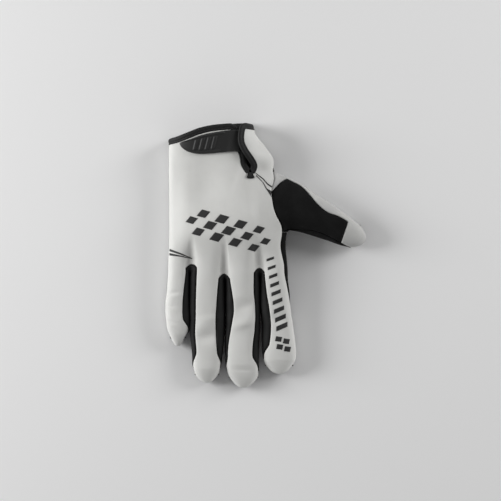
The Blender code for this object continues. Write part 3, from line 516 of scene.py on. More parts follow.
def slit_arch(row, column):
    """How far the cloth reaches below its row under the end of the wrist slit."""
    if row != CUFF_ROWS or not SLIT_LEFT < column < SLIT_RIGHT:
        return 0.0
    share = (column - SLIT_LEFT) / WEB
    return SLIT_ARCH * 4 * share * (1 - share)


def plain_hand_point(column, along):
    kind, which, share = COLUMNS[column]
    if kind == "top":
        return hand_top_point(which, share, along)
    if kind == "under":
        return hand_under_point(which, share, along)
    if kind == "top_web":
        return mix(hand_top_point(which, 1, along), hand_top_point(which + 1, 0, along), share)
    return mix(hand_under_point(which + 1, 1, along), hand_under_point(which, 0, along), share)


def root_point(column):
    """Point of the cloth in the row where the fingers start."""
    kind, which, share = COLUMNS[column]
    if kind == "top":
        along = mix(root_along(which, 0), root_along(which, 1), share)
        return finger_point(which, top_angle(which, share, along), along)
    if kind == "under":
        return finger_under_point(which, 0, share)
    if kind == "top_web":
        return web_point(which, share, 0)
    return web_point(which, 1 - share, 1)


def hand_point(row, column):
    """Point of the cloth on the hand, rows counted from the cuff to the finger roots."""
    if column not in root_points:
        root_points[column] = root_point(column)
    root = root_points[column]
    if row == ROOT_ROW:
        return root
    # The cuff's edge depends on where the point lies, so three passes settle its place.
    point = root
    for _ in range(3):
        cuff_place = read_table(CUFF_EDGE, point.x / HAND_WIDTH)[0]
        if row <= THUMB_ROW:
            place = mix(cuff_place, THUMB_TOP, row / CUFF_ROWS) - slit_arch(row, column)
        elif row <= CROTCH_ROW:
            place = mix(THUMB_TOP, THUMB_CROTCH, (row - THUMB_ROW) / THUMB_ROWS)
        else:
            share = (row - CROTCH_ROW) / KNUCKLE_ROWS
            place = mix(THUMB_CROTCH, root.y / PALM_LENGTH, share)
        point = plain_hand_point(column, place * PALM_LENGTH)
    if row <= CROTCH_ROW:
        return point
    weight = ease((row - CROTCH_ROW) / KNUCKLE_ROWS)
    shaped = Vector((root.x, point.y, root.z))
    kind, which, share = COLUMNS[column]
    if kind == "top":
        shaped = finger_point(which, top_angle(which, share, root.y), point.y)
    return mix(point, shaped, weight)


def finger_key(finger, row, part, index):
    """Name of a point of a finger's cloth. Points that two panels share have one name."""
    last = FINGER_ROWS + TIP_ROWS
    if part == "under" and row == last:
        part = "top"
        index = LANE - index
    if part == "under" and index == 0 and (row > FINGER_ROWS or finger == 3):
        part = "top"
        index = LANE
    if part == "under" and index == LANE and (row > FINGER_ROWS or finger == 0):
        part = "top"
        index = 0
    if part in ("right", "left") and index == 0:
        index = LANE if part == "right" else 0
        part = "top"
    if part in ("right", "left") and index == SIDE:
        index = 0 if part == "right" else LANE
        part = "under"
    if row == 0 and part == "top":
        return ("hand", ROOT_ROW, finger * (LANE + WEB) + index)
    if row == 0 and part == "under":
        column = TOP_COUNT + (3 - finger) * (LANE + WEB) + index
        return ("hand", ROOT_ROW, column % len(COLUMNS))
    return (part, finger, row, index)


# Where the points of each kind of key come from. Later panels add their own kinds.
POINT_OF = {
    "hand": hand_point,
    "top": lambda finger, row, index: finger_top_point(finger, row, index / LANE),
}


def hand_faces(columns):
    """Faces of the hand's cloth, without the wrist slit and the hole for the thumb."""
    for row in range(ROOT_ROW):
        for column in columns:
            if SLIT_LEFT <= column < SLIT_RIGHT and row < CUFF_ROWS:
                continue
            if TOP_COUNT <= column < TOP_COUNT + HOLE_DEPTH and THUMB_ROW <= row < CROTCH_ROW:
                continue
            after = (column + 1) % len(COLUMNS)
            yield [("hand", row, column), ("hand", row + 1, column),
                   ("hand", row + 1, after), ("hand", row, after)]


def finger_faces(finger, part):
    for row in range(FINGER_ROWS + TIP_ROWS):
        for index in range(LANE):
            yield [finger_key(finger, row, part, index), finger_key(finger, row + 1, part, index),
                   finger_key(finger, row + 1, part, index + 1),
                   finger_key(finger, row, part, index + 1)]


def fold_rise(point):
    """How far the folds lift the cloth at a point of its upper side, in metres."""
    rise = 0.0
    for at_x, at_y, half_length, soft, steep, turn, height in FOLDS:
        dx = point.x * 1000 - at_x
        dy = point.y * 1000 - at_y
        cosine = math.cos(math.radians(turn))
        sine = math.sin(math.radians(turn))
        ahead = (dx * cosine + dy * sine) / half_length
        aside = dy * cosine - dx * sine
        aside /= steep if aside > 0 else soft
        if abs(ahead) < 3 and abs(aside) < 3:
            rise += height * math.exp(-ahead * ahead - aside * aside)
    return rise / 1000


def border_loops(sheet):
    """Loops along a sheet's open edges, gathered by the vertices at both ends."""
    loops_at = {}
    for edge in sheet.edges:
        if edge.is_boundary:
            loop = edge.link_loops[0]
            for vert in edge.verts:
                loops_at.setdefault(vert, []).append(loop)
    return loops_at


def border_shift(loops, distance):
    """Move along the cloth that sets a border vertex back by a distance from its edges."""
    total = Vector()
    for loop in loops:
        direction = (loop.link_loop_next.vert.co - loop.vert.co).normalized()
        total += loop.face.normal.cross(direction).normalized()
    return total.normalized() * distance


def sew_shape(sheet, open_edges, folded):
    """Rolls a sheet's edges into its seams and gives it puckers, slack and folds."""
    sheet.normal_update()
    loops_at = border_loops(sheet)
    seams = [vert for vert in loops_at if vert not in open_edges]
    tree = KDTree(len(seams))
    for number, vert in enumerate(seams):
        tree.insert(vert.co, number)
    tree.balance()
    moves = {}
    for vert in sheet.verts:
        seam, _, away = tree.find(vert.co)
        near = max(0.0, 1 - away / SEAM_ROLL)
        rise = -SEAM_DROP * near * near
        pucker = noise.noise(seam / PUCKER_PITCH)
        from_peak = away / PUCKER_REACH - PUCKER_PEAK
        rise += PUCKER_DEPTH * pucker * math.exp(-2 * from_peak ** 2)
        calm = min(1.0, away / PUCKER_REACH)
        rise += SLACK_DEPTH * noise.noise(vert.co / SLACK_PITCH) * calm
        if folded:
            upward = ease((vert.normal.z - FOLD_LEAN[0]) / (FOLD_LEAN[1] - FOLD_LEAN[0]))
            rise += fold_rise(vert.co) * upward * mix(FOLD_AT_SEAM, 1.0, calm)
        moves[vert] = vert.normal * rise
        if vert in loops_at and vert not in open_edges:
            moves[vert] += border_shift(loops_at[vert], SEAM_GAP / 2)
    for vert, move in moves.items():
        vert.co += move
        vert.co.z = max(vert.co.z, 0.0)


def lay_flat(piece):
    """Unwraps a sheet into its flat pattern, along the glove, in metres. Gives its size."""
    bpy.context.view_layer.objects.active = piece
    piece.select_set(True)
    bpy.ops.object.mode_set(mode="EDIT")
    bpy.ops.mesh.select_all(action="SELECT")
    bpy.ops.uv.unwrap(method="CONFORMAL", margin=0.0)
    bpy.ops.object.mode_set(mode="OBJECT")
    piece.select_set(False)
    mesh = piece.data
    pattern = mesh.uv_layers.active.data
    flat_area = 0.0
    for face in mesh.polygons:
        spots = [pattern[loop].uv for loop in face.loop_indices]
        for number in range(1, len(spots) - 1):
            flat_area += (spots[number] - spots[0]).cross(spots[number + 1] - spots[0]) / 2
    area = sum(face.area for face in mesh.polygons)
    scale = math.sqrt(area / abs(flat_area))
    middle = sum((spot.uv for spot in pattern), Vector((0, 0))) / len(pattern)
    centre = sum((vertex.co for vertex in mesh.vertices), Vector()) / len(mesh.vertices)
    along = 0.0
    across = 0.0
    for loop in mesh.loops:
        spot = pattern[loop.index].uv - middle
        place = mesh.vertices[loop.vertex_index].co - centre
        along += spot.x * place.x + spot.y * place.y
        across += spot.x * place.y - spot.y * place.x
    turn = math.atan2(across, along)
    cosine = math.cos(turn) * scale
    sine = math.sin(turn) * scale
    low = Vector((1e9, 1e9))
    high = -low
    for spot in pattern:
        x, y = spot.uv - middle
        spot.uv = (x * cosine - y * sine, x * sine + y * cosine)
        low = Vector(map(min, low, spot.uv))
        high = Vector(map(max, high, spot.uv))
    return high.x - low.x, high.y - low.y, area


def cut_sheet(name, faces, wall, node, open_edges=(), folded=False):
    """Sheet of cloth from the names of its faces' corners, sewn, laid flat and riding, with its
    CAD part hidden.
    """
    sheet = bmesh.new()
    corner = {}
    for keys in faces:
        for key in keys:
            if key not in corner:
                corner[key] = sheet.verts.new(POINT_OF[key[0]](*key[1:]))
        corners = list(dict.fromkeys(corner[key] for key in keys))
        sheet.faces.new(corners)
    sew_shape(sheet, {corner[key] for key in open_edges if key in corner}, folded)
    mesh = bpy.data.meshes.new(name)
    sheet.to_mesh(mesh)
    sheet.free()
    mesh.shade_smooth()
    for vertex in mesh.vertices:
        vertex.co += FROM_DRAWING
    piece = bpy.data.objects.new(name, mesh)
    bpy.context.scene.collection.objects.link(piece)
    width, length, area = lay_flat(piece)
    cloth = piece.modifiers.new("cloth thickness", "SOLIDIFY")
    cloth.thickness = wall
    cloth.offset = -1.0
    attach(piece, "root")
    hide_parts(node)
    return piece


def linear(hex_colour):
    """Linear colour of an sRGB hex value."""
    values = []
    for start in (1, 3, 5):
        share = int(hex_colour[start:start + 2], 16) / 255
        values.append(share / 12.92 if share <= 0.04045 else ((share + 0.055) / 1.055) ** 2.4)
    return values + [1.0]


def new_material(name, hex_colour, roughness):
    material = bpy.data.materials.new(name)
    material.use_nodes = True
    shader = material.node_tree.nodes["Principled BSDF"]
    shader.inputs["Base Color"].default_value = linear(hex_colour)
    shader.inputs["Roughness"].default_value = roughness
    return material, shader


def add_node(material, kind, settings, links=()):
    """Adds a node, sets its properties and inputs by name, and links its inputs."""
    node = material.node_tree.nodes.new(kind)
    for name, value in settings.items():
        if isinstance(name, str) and hasattr(node, name):
            setattr(node, name, value)
        else:
            node.inputs[name].default_value = value
    for name, source in links:
        material.node_tree.links.new(source, node.inputs[name])
    return node


# A wave texture repeats every 2 pi / 20 of its own unit, so a pitch in metres gives its scale.
WAVE_TURN = math.pi / 10


def add_knit(material, shader, wale, course, depth, shades, patch):
    """Knitted loops in relief, and a faint change of shade from one place to the next."""
    flat = add_node(material, "ShaderNodeTexCoord", {}).outputs["UV"]
    wales = add_node(material, "ShaderNodeTexWave", {"bands_direction": "X",
                     "Scale": WAVE_TURN / wale, "Distortion": 0.6, "Detail": 0.0},
                     [("Vector", flat)])
    courses = add_node(material, "ShaderNodeTexWave", {"bands_direction": "Y",
                       "Scale": WAVE_TURN / course, "Distortion": 1.2, "Detail": 0.0},
                       [("Vector", flat)])
    loops = add_node(material, "ShaderNodeMath", {"operation": "MULTIPLY"},
                     [(0, wales.outputs["Fac"]), (1, courses.outputs["Fac"])])
    bump = add_node(material, "ShaderNodeBump", {"Strength": 1.0, "Distance": depth},
                    [("Height", loops.outputs["Value"])])
    material.node_tree.links.new(bump.outputs["Normal"], shader.inputs["Normal"])
    cloud = add_node(material, "ShaderNodeTexNoise", {"Scale": 1 / patch, "Detail": 3.0},
                     [("Vector", flat)])
    ramp = add_node(material, "ShaderNodeValToRGB", {}, [("Fac", cloud.outputs["Fac"])])
    ramp.color_ramp.elements[0].position = 0.35
    ramp.color_ramp.elements[0].color = linear(shades[0])
    ramp.color_ramp.elements[1].position = 0.65
    ramp.color_ramp.elements[1].color = linear(shades[1])
    material.node_tree.links.new(ramp.outputs["Color"], shader.inputs["Base Color"])


# Polyester and elastane knit. It gives the eye a matt white with a faint warm cast. The
# loops are drawn at 0.9 by 1.1 mm, half as coarse again as real ones, so that they show.
WALE = 0.0009
COURSE = 0.0011
LOOP_DEPTH = 0.00005
SHADE_PATCH = 0.03
white_knit, white_shader = new_material("white polyester knit", "#dcdcd9", 0.82)
white_shader.inputs["Sheen Weight"].default_value = 0.15
white_shader.inputs["Sheen Roughness"].default_value = 0.5
white_shader.inputs["Specular IOR Level"].default_value = 0.3
add_knit(white_knit, white_shader, WALE, COURSE, LOOP_DEPTH, ("#d9d9d6", "#dfdfdc"),
         SHADE_PATCH)

back_faces = list(hand_faces(range(TOP_COUNT)))
for finger in range(4):
    back_faces += finger_faces(finger, "top")
cuff_edge = [("hand", 0, column) for column in range(SLIT_LEFT)]
cuff_edge += [("hand", row, SLIT_LEFT) for row in range(CUFF_ROWS)]
cuff_edge += [("hand", CUFF_ROWS, column) for column in range(SLIT_LEFT, SLIT_RIGHT)]
cuff_edge += [("hand", row, SLIT_RIGHT) for row in range(CUFF_ROWS, 0, -1)]
cuff_edge += [("hand", 0, column) for column in range(SLIT_RIGHT, len(COLUMNS))]
back_panel = cut_sheet("back_of_hand", back_faces, BACK_WALL, "back_panel",
                       cuff_edge, folded=True)
back_panel.data.materials.append(white_knit)


# Palm: black synthetic suede under the hand and the fingers, sewn to the back all round.
# It lies flat under the glove and comes up beside the root of the index finger.
PALM_WALL = 0.0015
UNDER_SPREAD = 0.6
CUFF_RISE_START = 0.62
CUFF_RISE_LENGTH = 0.13
BINDING_THICKNESS = 0.0026


def cuff_floor(along):
    """Lowest height of the palm, which rises at the cuff to make room for the binding."""
    rise = ease((along / PALM_LENGTH - CUFF_RISE_START) / CUFF_RISE_LENGTH)
    return (BINDING_THICKNESS - BACK_WALL) / 2 * rise


def hand_under_point(finger, share, along):
    """Point of the palm in a finger's lane, from its right edge (0) to its left (1)."""
    left, right, top, widest, seam = hand_row(along)
    lane_left, lane_right = lane_edges(finger, along)
    start = seam if lane_right is None else -angle_of(lane_right, left, right)
    end = LEFT_SEAM - 360 if lane_left is None else -angle_of(lane_left, left, right)
    if finger == 3:
        share = share ** UNDER_SPREAD
    if finger == 3 and share == 0:
        return hand_top_point(3, 1, along)
    point = section_point(mix(start, end, share), left, right, top, widest, along)
    point.z = max(point.z, cuff_floor(along))
    return point


def under_root_along(finger, share):
    """Place of a finger's palm side at its root, from its right edge (0) to its left."""
    start = root_along(3, 1) if finger == 3 else PALM_CROTCH * PALM_LENGTH
    end = root_along(0, 0) if finger == 0 else PALM_CROTCH * PALM_LENGTH
    if finger == 3:
        return mix(start, end, min(1.0, 2 * share))
    if finger == 0:
        return mix(start, end, max(0.0, 2 * share - 1))
    return start


def finger_under_point(finger, row, share):
    start = -TIPS[finger][0] * FINGER_LENGTH
    if row <= FINGER_ROWS:
        along = mix(under_root_along(finger, share), start, row / FINGER_ROWS)
        seam_left, seam_right = finger_row(finger, along)[4:6]
        edge = palm_edge(finger, along)
        first = seam_right if finger == 3 else edge
        last = seam_left - 360 if finger == 0 else -180 - edge
        return finger_point(finger, mix(first, last, share), along)
    turn = (row - FINGER_ROWS) / TIP_ROWS * 90
    left, right = tip_seams(finger)
    return finger_tip_point(finger, mix(right, left - 360, share), -180 * share, turn)


def add_grain(material, shader, grain, relief, cloud=None, shades=None, span=(0.0, 1.0)):
    """Fine grain in relief, given as texture settings with its strength and depth, and
    under it soft clouds of colour between two shades."""
    place = add_node(material, "ShaderNodeTexCoord", {}).outputs["Object"]
    fine = add_node(material, "ShaderNodeTexNoise", grain, [("Vector", place)])
    strength, depth = relief
    bump = add_node(material, "ShaderNodeBump", {"Strength": strength, "Distance": depth},
                    [("Height", fine.outputs["Fac"])])
    material.node_tree.links.new(bump.outputs["Normal"], shader.inputs["Normal"])
    if shades:
        soft = add_node(material, "ShaderNodeTexNoise", cloud, [("Vector", place)])
        ramp = add_node(material, "ShaderNodeValToRGB", {}, [("Fac", soft.outputs["Fac"])])
        for element, position, shade in zip(ramp.color_ramp.elements, span, shades):
            element.position = position
            element.color = linear(shade)
        material.node_tree.links.new(ramp.outputs["Color"], shader.inputs["Base Color"])


# Microfibre suede, dyed black. It gives the eye a dull black with a short nap, brushed into
# slightly lighter and darker patches about 17 mm wide. The nap is drawn at 0.7 mm, coarser
# than the real one of 0.2 mm, so that it shows.
NAP = 0.0007
NAP_DEPTH = 0.00008
BRUSHED_PATCH = 1 / 60
black_suede, suede_shader = new_material("black microfibre suede", "#111111", 0.92)
suede_shader.inputs["Specular IOR Level"].default_value = 0.2
add_grain(black_suede, suede_shader, {"Scale": 1 / NAP, "Detail": 4.0, "Roughness": 0.7},
          (1.0, NAP_DEPTH), {"Scale": 1 / BRUSHED_PATCH, "Detail": 5.0, "Roughness": 0.65},
          ("#0c0c0c", "#181818"), (0.35, 0.7))

POINT_OF["under"] = lambda finger, row, index: finger_under_point(finger, row, index / LANE)
palm_faces = list(hand_faces(range(TOP_COUNT, len(COLUMNS))))
for finger in range(4):
    palm_faces += finger_faces(finger, "under")
palm = cut_sheet("palm_suede", palm_faces, PALM_WALL, "palm", cuff_edge)
palm.data.materials.append(black_suede)


# Fourchettes: black elastic ribbons along the sides of the fingers. Each runs down one
# finger, round the crotch and up the next, with a soft ridge where it is slack.
FOURCHETTE_WALL = 0.0011
RIDGE_RISE = 0.0009
RIDGE_LENGTH = 0.030
RIDGE_STEADY = 0.7
RIDGE_WAVE = 0.6
RIDGE_UP = 0.4


def fourchette_point(part, finger, row, index):
    """Point of a finger's side, bulged a little where the ribbon is slack."""
    side = 1 if part == "right" else -1
    down = index / SIDE
    point = side_point(finger, side, row, down)
    wave = noise.noise(Vector((finger * 3.7 + side, point.y / RIDGE_LENGTH, 0.0)))
    slack = math.sin(math.pi * down) * (RIDGE_STEADY + RIDGE_WAVE * wave) * RIDGE_RISE
    return point + Vector((side * slack, 0, slack * RIDGE_UP))


def web_key(web, across, down):
    """Name of a point of a fourchette where it turns round between two fingers."""
    if across == 0:
        return finger_key(web, 0, "right", down)
    if across == WEB:
        return finger_key(web + 1, 0, "left", down)
    if down == 0:
        return ("hand", ROOT_ROW, (web + 1) * LANE + web * WEB + across)
    if down == SIDE:
        first = TOP_COUNT + (3 - web) * LANE + (2 - web) * WEB
        return ("hand", ROOT_ROW, first + WEB - across)
    return ("web", web, across, down)


def fourchette_faces(web):
    for part, finger in (("right", web), ("left", web + 1)):
        for row in range(FINGER_ROWS + 1):
            for index in range(SIDE):
                near = [finger_key(finger, row, part, index),
                        finger_key(finger, row, part, index + 1)]
                far = [finger_key(finger, row + 1, part, index + 1),
                       finger_key(finger, row + 1, part, index)]
                if row == FINGER_ROWS:
                    tip = LANE if part == "right" else 0
                    far = [finger_key(finger, row + 1, "top", tip)]
                corners = near + far
                yield corners[::-1] if part == "right" else corners
    for across in range(WEB):
        for down in range(SIDE):
            yield [web_key(web, across, down), web_key(web, across, down + 1),
                   web_key(web, across + 1, down + 1), web_key(web, across + 1, down)]


# Elastic cloth, black, with fine ribs along the ribbon. It gives the eye a dull black that
# catches a little light on its ridges.
ELASTIC_RIB = 0.0008
ELASTIC_PICK = 0.0012
ELASTIC_PATCH = 0.02
black_elastic, elastic_shader = new_material("black elastic cloth", "#161616", 0.75)
elastic_shader.inputs["Specular IOR Level"].default_value = 0.3
add_knit(black_elastic, elastic_shader, ELASTIC_RIB, ELASTIC_PICK, LOOP_DEPTH,
         ("#121212", "#1c1c1c"), ELASTIC_PATCH)

POINT_OF["right"] = lambda finger, row, index: fourchette_point("right", finger, row, index)
POINT_OF["left"] = lambda finger, row, index: fourchette_point("left", finger, row, index)
POINT_OF["web"] = lambda web, across, down: web_point(web, across / WEB, down / SIDE)
for web, (name, node) in enumerate([("ribbon_little_ring", "fourchette_little_ring"),
                                    ("ribbon_ring_middle", "fourchette_ring_middle"),
                                    ("ribbon_middle_index", "fourchette_middle_index")]):
    ribbon = cut_sheet(name, fourchette_faces(web), FOURCHETTE_WALL, node)
    ribbon.data.materials.append(black_elastic)


# Thumb: white knit along its outer edge with a cap over the tip, coloured light grey as painted
# shade, a black suede patch over the back, and a black suede palm side. The three are sewn into
# the hole in the hand.
THUMB_WALL = 0.0013
THUMB_LENGTH = 0.100
THUMB_BOW = 0.100
THUMB_TIP_HEIGHT = 0.24
THUMB_UNDER_SEAM = -35.0
THUMB_ROOT = 0.432
GREY_FACES = 5 * DETAIL
PATCH_FACES = 4 * DETAIL
HALF_RING = GREY_FACES + PATCH_FACES
THUMB_RING = 2 * (THUMB_ROWS + HOLE_DEPTH)
RING_START = 2 * THUMB_ROWS + HOLE_DEPTH

# Thumb sections: outer edge and inner edge in plan, each as reach (of THUMB_LENGTH from
# the thumb root) and place (of PALM_LENGTH), top, widest height (of HAND_HEIGHT), angles
# of the patch's outer and inner seam.
THUMB = [
    (0.126, 0.568, 0.153, 0.250, 0.83, 0.37, 14, 166),
    (0.256, 0.523, 0.243, 0.238, 0.82, 0.37, 18, 158),
    (0.378, 0.471, 0.333, 0.221, 0.79, 0.36, 50, 142),
    (0.504, 0.420, 0.432, 0.200, 0.76, 0.35, 63, 138),
    (0.603, 0.374, 0.522, 0.180, 0.72, 0.34, 54, 142),
    (0.688, 0.332, 0.603, 0.161, 0.67, 0.33, 50, 150),
    (0.787, 0.277, 0.693, 0.149, 0.60, 0.31, 60, 165),
]


def thumb_row(row):
    """Plan and heights of a thumb section, at a row number that may be a fraction."""
    rows = [(number,) + values for number, values in enumerate(THUMB, start=1)]
    values = read_table(rows, row)
    root = THUMB_ROOT * HAND_WIDTH
    outer = Vector((root + values[0] * THUMB_LENGTH, values[1] * PALM_LENGTH, 0))
    inner = Vector((root + values[2] * THUMB_LENGTH, values[3] * PALM_LENGTH, 0))
    return outer, inner, values[4] * HAND_HEIGHT, values[5] * HAND_HEIGHT, values[6], values[7]


def thumb_point(row, index):
    """Point of the thumb's ring, which starts at the outer end of the seam with the back.
    Between the hole in the hand and its first section the ring changes over smoothly."""
    station = row / DETAIL
    if 0 < station < 1:
        start = hand_point(*thumb_key(0, index)[1:])
        first = thumb_point(DETAIL, index)
        slope = (thumb_point(2 * DETAIL, index) - start) / 2
        leave = station * (1 - station) ** 2 * (first - start)
        arrive = station * station * (station - 1) * slope
        return mix(start, first, ease(station)) + leave + arrive
    last = len(THUMB) - 1
    turn = max(0.0, station - last) * DETAIL / TIP_ROWS * 90
    forward = math.sin(math.radians(turn))
    outer, inner, top, widest, patch_outer, patch_inner = thumb_row(min(station, last + forward))
    around = (index - RING_START) % THUMB_RING
    if around <= GREY_FACES:
        angle = mix(THUMB_UNDER_SEAM, patch_outer, around / GREY_FACES)
    elif around <= HALF_RING:
        angle = mix(patch_outer, patch_inner, (around - GREY_FACES) / PATCH_FACES)
    else:
        angle = mix(patch_inner, 360 + THUMB_UNDER_SEAM, (around - HALF_RING) / HALF_RING)
    angle = mix(angle, around / HALF_RING * 180, forward ** 2)
    reach = math.cos(math.radians(angle))
    middle = (outer + inner) / 2
    point = middle + (outer - inner) / 2 * reach
    point.z = section_height(angle, top, widest)
    point.z = mix(THUMB_TIP_HEIGHT * HAND_HEIGHT, point.z, math.cos(math.radians(turn)))
    ahead = Vector((outer.y - inner.y, inner.x - outer.x, 0)).normalized()
    bow = THUMB_BOW * THUMB_LENGTH * forward ** 2 * (1 - abs(reach) ** TIP_POWER)
    return point + ahead * bow


def thumb_key(row, index):
    """Name of a point of the thumb's cloth. Its first ring is the hole in the hand."""
    index %= THUMB_RING
    if row == 0:
        if index <= THUMB_ROWS:
            return ("hand", THUMB_ROW + index, TOP_COUNT)
        if index <= THUMB_ROWS + HOLE_DEPTH:
            return ("hand", CROTCH_ROW, TOP_COUNT + index - THUMB_ROWS)
        if index <= 2 * THUMB_ROWS + HOLE_DEPTH:
            step = index - THUMB_ROWS - HOLE_DEPTH
            return ("hand", CROTCH_ROW - step, TOP_COUNT + HOLE_DEPTH)
        return ("hand", THUMB_ROW, TOP_COUNT + THUMB_RING - index)
    last = (len(THUMB) - 1) * DETAIL + TIP_ROWS
    around = (index - RING_START) % THUMB_RING
    if row == last and around > HALF_RING:
        index = (RING_START + THUMB_RING - around) % THUMB_RING
    return ("thumb", row, index)


def thumb_faces(wanted):
    """Faces of one of the thumb's panels: "back", "patch" or "palm"."""
    cap_row = (len(THUMB) - 1) * DETAIL
    for row in range(cap_row + TIP_ROWS):
        for index in range(THUMB_RING):
            around = (index - RING_START) % THUMB_RING
            if around >= HALF_RING:
                panel = "palm"
            elif around >= GREY_FACES and row < cap_row:
                panel = "patch"
            else:
                panel = "back"
            if panel == wanted:
                yield [thumb_key(row, index), thumb_key(row, index + 1),
                       thumb_key(row + 1, index + 1), thumb_key(row + 1, index)]


# The same white polyester knit as the back, coloured a light grey: painted shade on the thumb's
# outer side and its cap.
painted_shade_knit, painted_shade_knit_shader = new_material("white polyester knit with painted shade", "#c0c0bd", 0.82)
painted_shade_knit_shader.inputs["Specular IOR Level"].default_value = 0.3
add_knit(painted_shade_knit, painted_shade_knit_shader, WALE, COURSE, LOOP_DEPTH, ("#bababa", "#c8c8c5"), SHADE_PATCH)

POINT_OF["thumb"] = thumb_point
thumb_back = cut_sheet("thumb_outer", thumb_faces("back"), THUMB_WALL, "thumb_back",
                       folded=True)
# The outer panel and the cap take the knit whose light grey is painted shade.
thumb_back.data.materials.append(painted_shade_knit)
thumb_patch = cut_sheet("thumb_cover", thumb_faces("patch"), THUMB_WALL, "thumb_patch")
thumb_patch.data.materials.append(black_suede)
thumb_palm = cut_sheet("thumb_suede", thumb_faces("palm"), PALM_WALL, "thumb_palm")
thumb_palm.data.materials.append(black_suede)


# Cuff binding: a folded elastic tape sewn over the raw edge of the cloth, in one loop
# round the cuff, down one side of the wrist slit and up the other. One row of stitches
# runs in the groove beside its inner edge.
BINDING_WIDTH = 0.0046
BINDING_STEP = 0.0010
CORNER_ROUNDS = 6
PINCH = 0.05
PINCH_PITCH = 0.009
WRAP_STEP = 0.0007
STITCH_PITCH = 0.0028
STITCH_GROOVE = (0.14, 0.84)
THREAD = 0.00028

# Section of the tape: out from the cloth's edge (of BINDING_WIDTH), up from the middle of
# the cloth (of half BINDING_THICKNESS).
TAPE = [
    (-0.26, 0.62), (-0.20, 0.92), (-0.08, 1.04), (0.06, 0.98), (0.14, 0.80), (0.22, 0.96),
    (0.36, 1.10), (0.58, 1.12), (0.78, 0.98), (0.92, 0.68), (0.99, 0.25), (0.99, -0.25),
    (0.90, -0.70), (0.74, -0.92), (0.40, -0.96), (0.10, -0.94), (-0.16, -0.90), (-0.26, -0.62),
]


def smooth_loop(points, rounds):
    """Evenly rounds the corners of a closed row of points."""
    for _ in range(rounds):
        count = len(points)
        points = [(points[i - 1] + 2 * points[i] + points[(i + 1) % count]) / 4
                  for i in range(count)]
    return points


def spaced_loop(rows, step):
    """Points at even steps round a closed row of points, each with its companion."""
    places = []
    left = 0.0
    for number, (point, mate) in enumerate(rows):
        after, mate_after = rows[(number + 1) % len(rows)]
        length = (after - point).length
        while left < length:
            places.append((mix(point, after, left / length), mix(mate, mate_after, left / length)))
            left += step
        left -= length
    return places


def inner_neighbour(key):
    """Point of the cloth just inside one of the cuff's or the slit's edge points."""
    _, row, column = key
    if row == 0 and column not in (SLIT_LEFT, SLIT_RIGHT):
        return hand_point(1, column)
    if column == SLIT_LEFT and row < CUFF_ROWS:
        return hand_point(row, column - 1)
    if column == SLIT_RIGHT and row < CUFF_ROWS:
        return hand_point(row, column + 1)
    return hand_point(row + 1, column)


def tube(body, rings, closed):
    """Faces round a row of rings of vertices, capped at both ends if it isn't closed."""
    count = len(rings)
    for number in range(count if closed else count - 1):
        ring = rings[number]
        after = rings[(number + 1) % count]
        for side in range(len(ring)):
            beside = (side + 1) % len(ring)
            body.faces.new([ring[side], ring[beside], after[beside], after[side]])
    if not closed:
        body.faces.new(rings[0][::-1])
        body.faces.new(rings[-1])


def add_thread(body, start, end, normal, thickness):
    """One stitch: a short thread that comes up out of the cloth and goes down again."""
    along = (end - start).normalized()
    across = along.cross(normal).normalized()
    rings = []
    for share in (0.0, 0.12, 0.35, 0.65, 0.88, 1.0):
        lift = thickness * (1.1 * math.sin(math.pi * share) ** 0.5 - 0.5)
        centre = mix(start, end, share) + normal * lift
        ring = []
        for side in range(6):
            angle = math.radians(60 * side)
            out = across * math.cos(angle) + normal * math.sin(angle)
            ring.append(body.verts.new(centre + out * thickness / 2))
        rings.append(ring)
    tube(body, rings, False)


def finished(name, body, material, node=None):
    """Object of its own from a mesh in the drawing's place, riding on the glove."""
    bmesh.ops.recalc_face_normals(body, faces=body.faces[:])
    mesh = bpy.data.meshes.new(name)
    body.to_mesh(mesh)
    body.free()
    mesh.shade_smooth()
    for vertex in mesh.vertices:
        vertex.co += FROM_DRAWING
    mesh.materials.append(material)
    piece = bpy.data.objects.new(name, mesh)
    bpy.context.scene.collection.objects.link(piece)
    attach(piece, "root")
    if node:
        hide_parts(node)
    return piece


# Elastic tape: black, a little glossier than the cloth, with ribs across it every 1.1 mm.
RIB_PITCH = 0.0011
RIB_DEPTH = 0.00007
black_tape, tape_shader = new_material("black elastic tape", "#141414", 0.62)
tape_shader.inputs["Specular IOR Level"].default_value = 0.35
ribs = add_node(black_tape, "ShaderNodeTexWave", {"bands_direction": "X",
                "Scale": WAVE_TURN / RIB_PITCH, "Distortion": 0.0},
                [("Vector", add_node(black_tape, "ShaderNodeTexCoord", {}).outputs["UV"])])
rib_bump = add_node(black_tape, "ShaderNodeBump", {"Strength": 1.0, "Distance": RIB_DEPTH},
                    [("Height", ribs.outputs["Fac"])])
black_tape.node_tree.links.new(rib_bump.outputs["Normal"], tape_shader.inputs["Normal"])

edge_rows = [(POINT_OF["hand"](*key[1:]), inner_neighbour(key)) for key in cuff_edge]
edge_rows = spaced_loop(edge_rows, BINDING_STEP)
edge_line = smooth_loop([point for point, _ in edge_rows], CORNER_ROUNDS)
outward = []
for point, inside in edge_rows:
    outward.append((point - inside).normalized())
outward = smooth_loop(outward, 2 * CORNER_ROUNDS)
half_tape = BINDING_THICKNESS / 2
tape_rings = []
tape_frames = []
tape_body = bmesh.new()
for number, point in enumerate(edge_line):
    along = (edge_line[(number + 1) % len(edge_line)] - edge_line[number - 1]).normalized()
    out = (outward[number] - along * outward[number].dot(along)).normalized()
    up = along.cross(out).normalized()
    middle = point - up * BACK_WALL / 2
    pinch = 1 + PINCH * noise.noise(point / PINCH_PITCH)
    ring = []
    for out_share, up_share in TAPE:
        place = middle + out * out_share * BINDING_WIDTH + up * up_share * half_tape * pinch
        place.z = max(place.z, 0.0)
        ring.append(tape_body.verts.new(place))
    tape_rings.append(ring)
    tape_frames.append((middle, out, up))
tube(tape_body, tape_rings, True)
tape_places = tape_body.loops.layers.uv.new("along the tape")
where = {}
for number, ring in enumerate(tape_rings):
    for side, vert in enumerate(ring):
        where[vert] = (number, side)
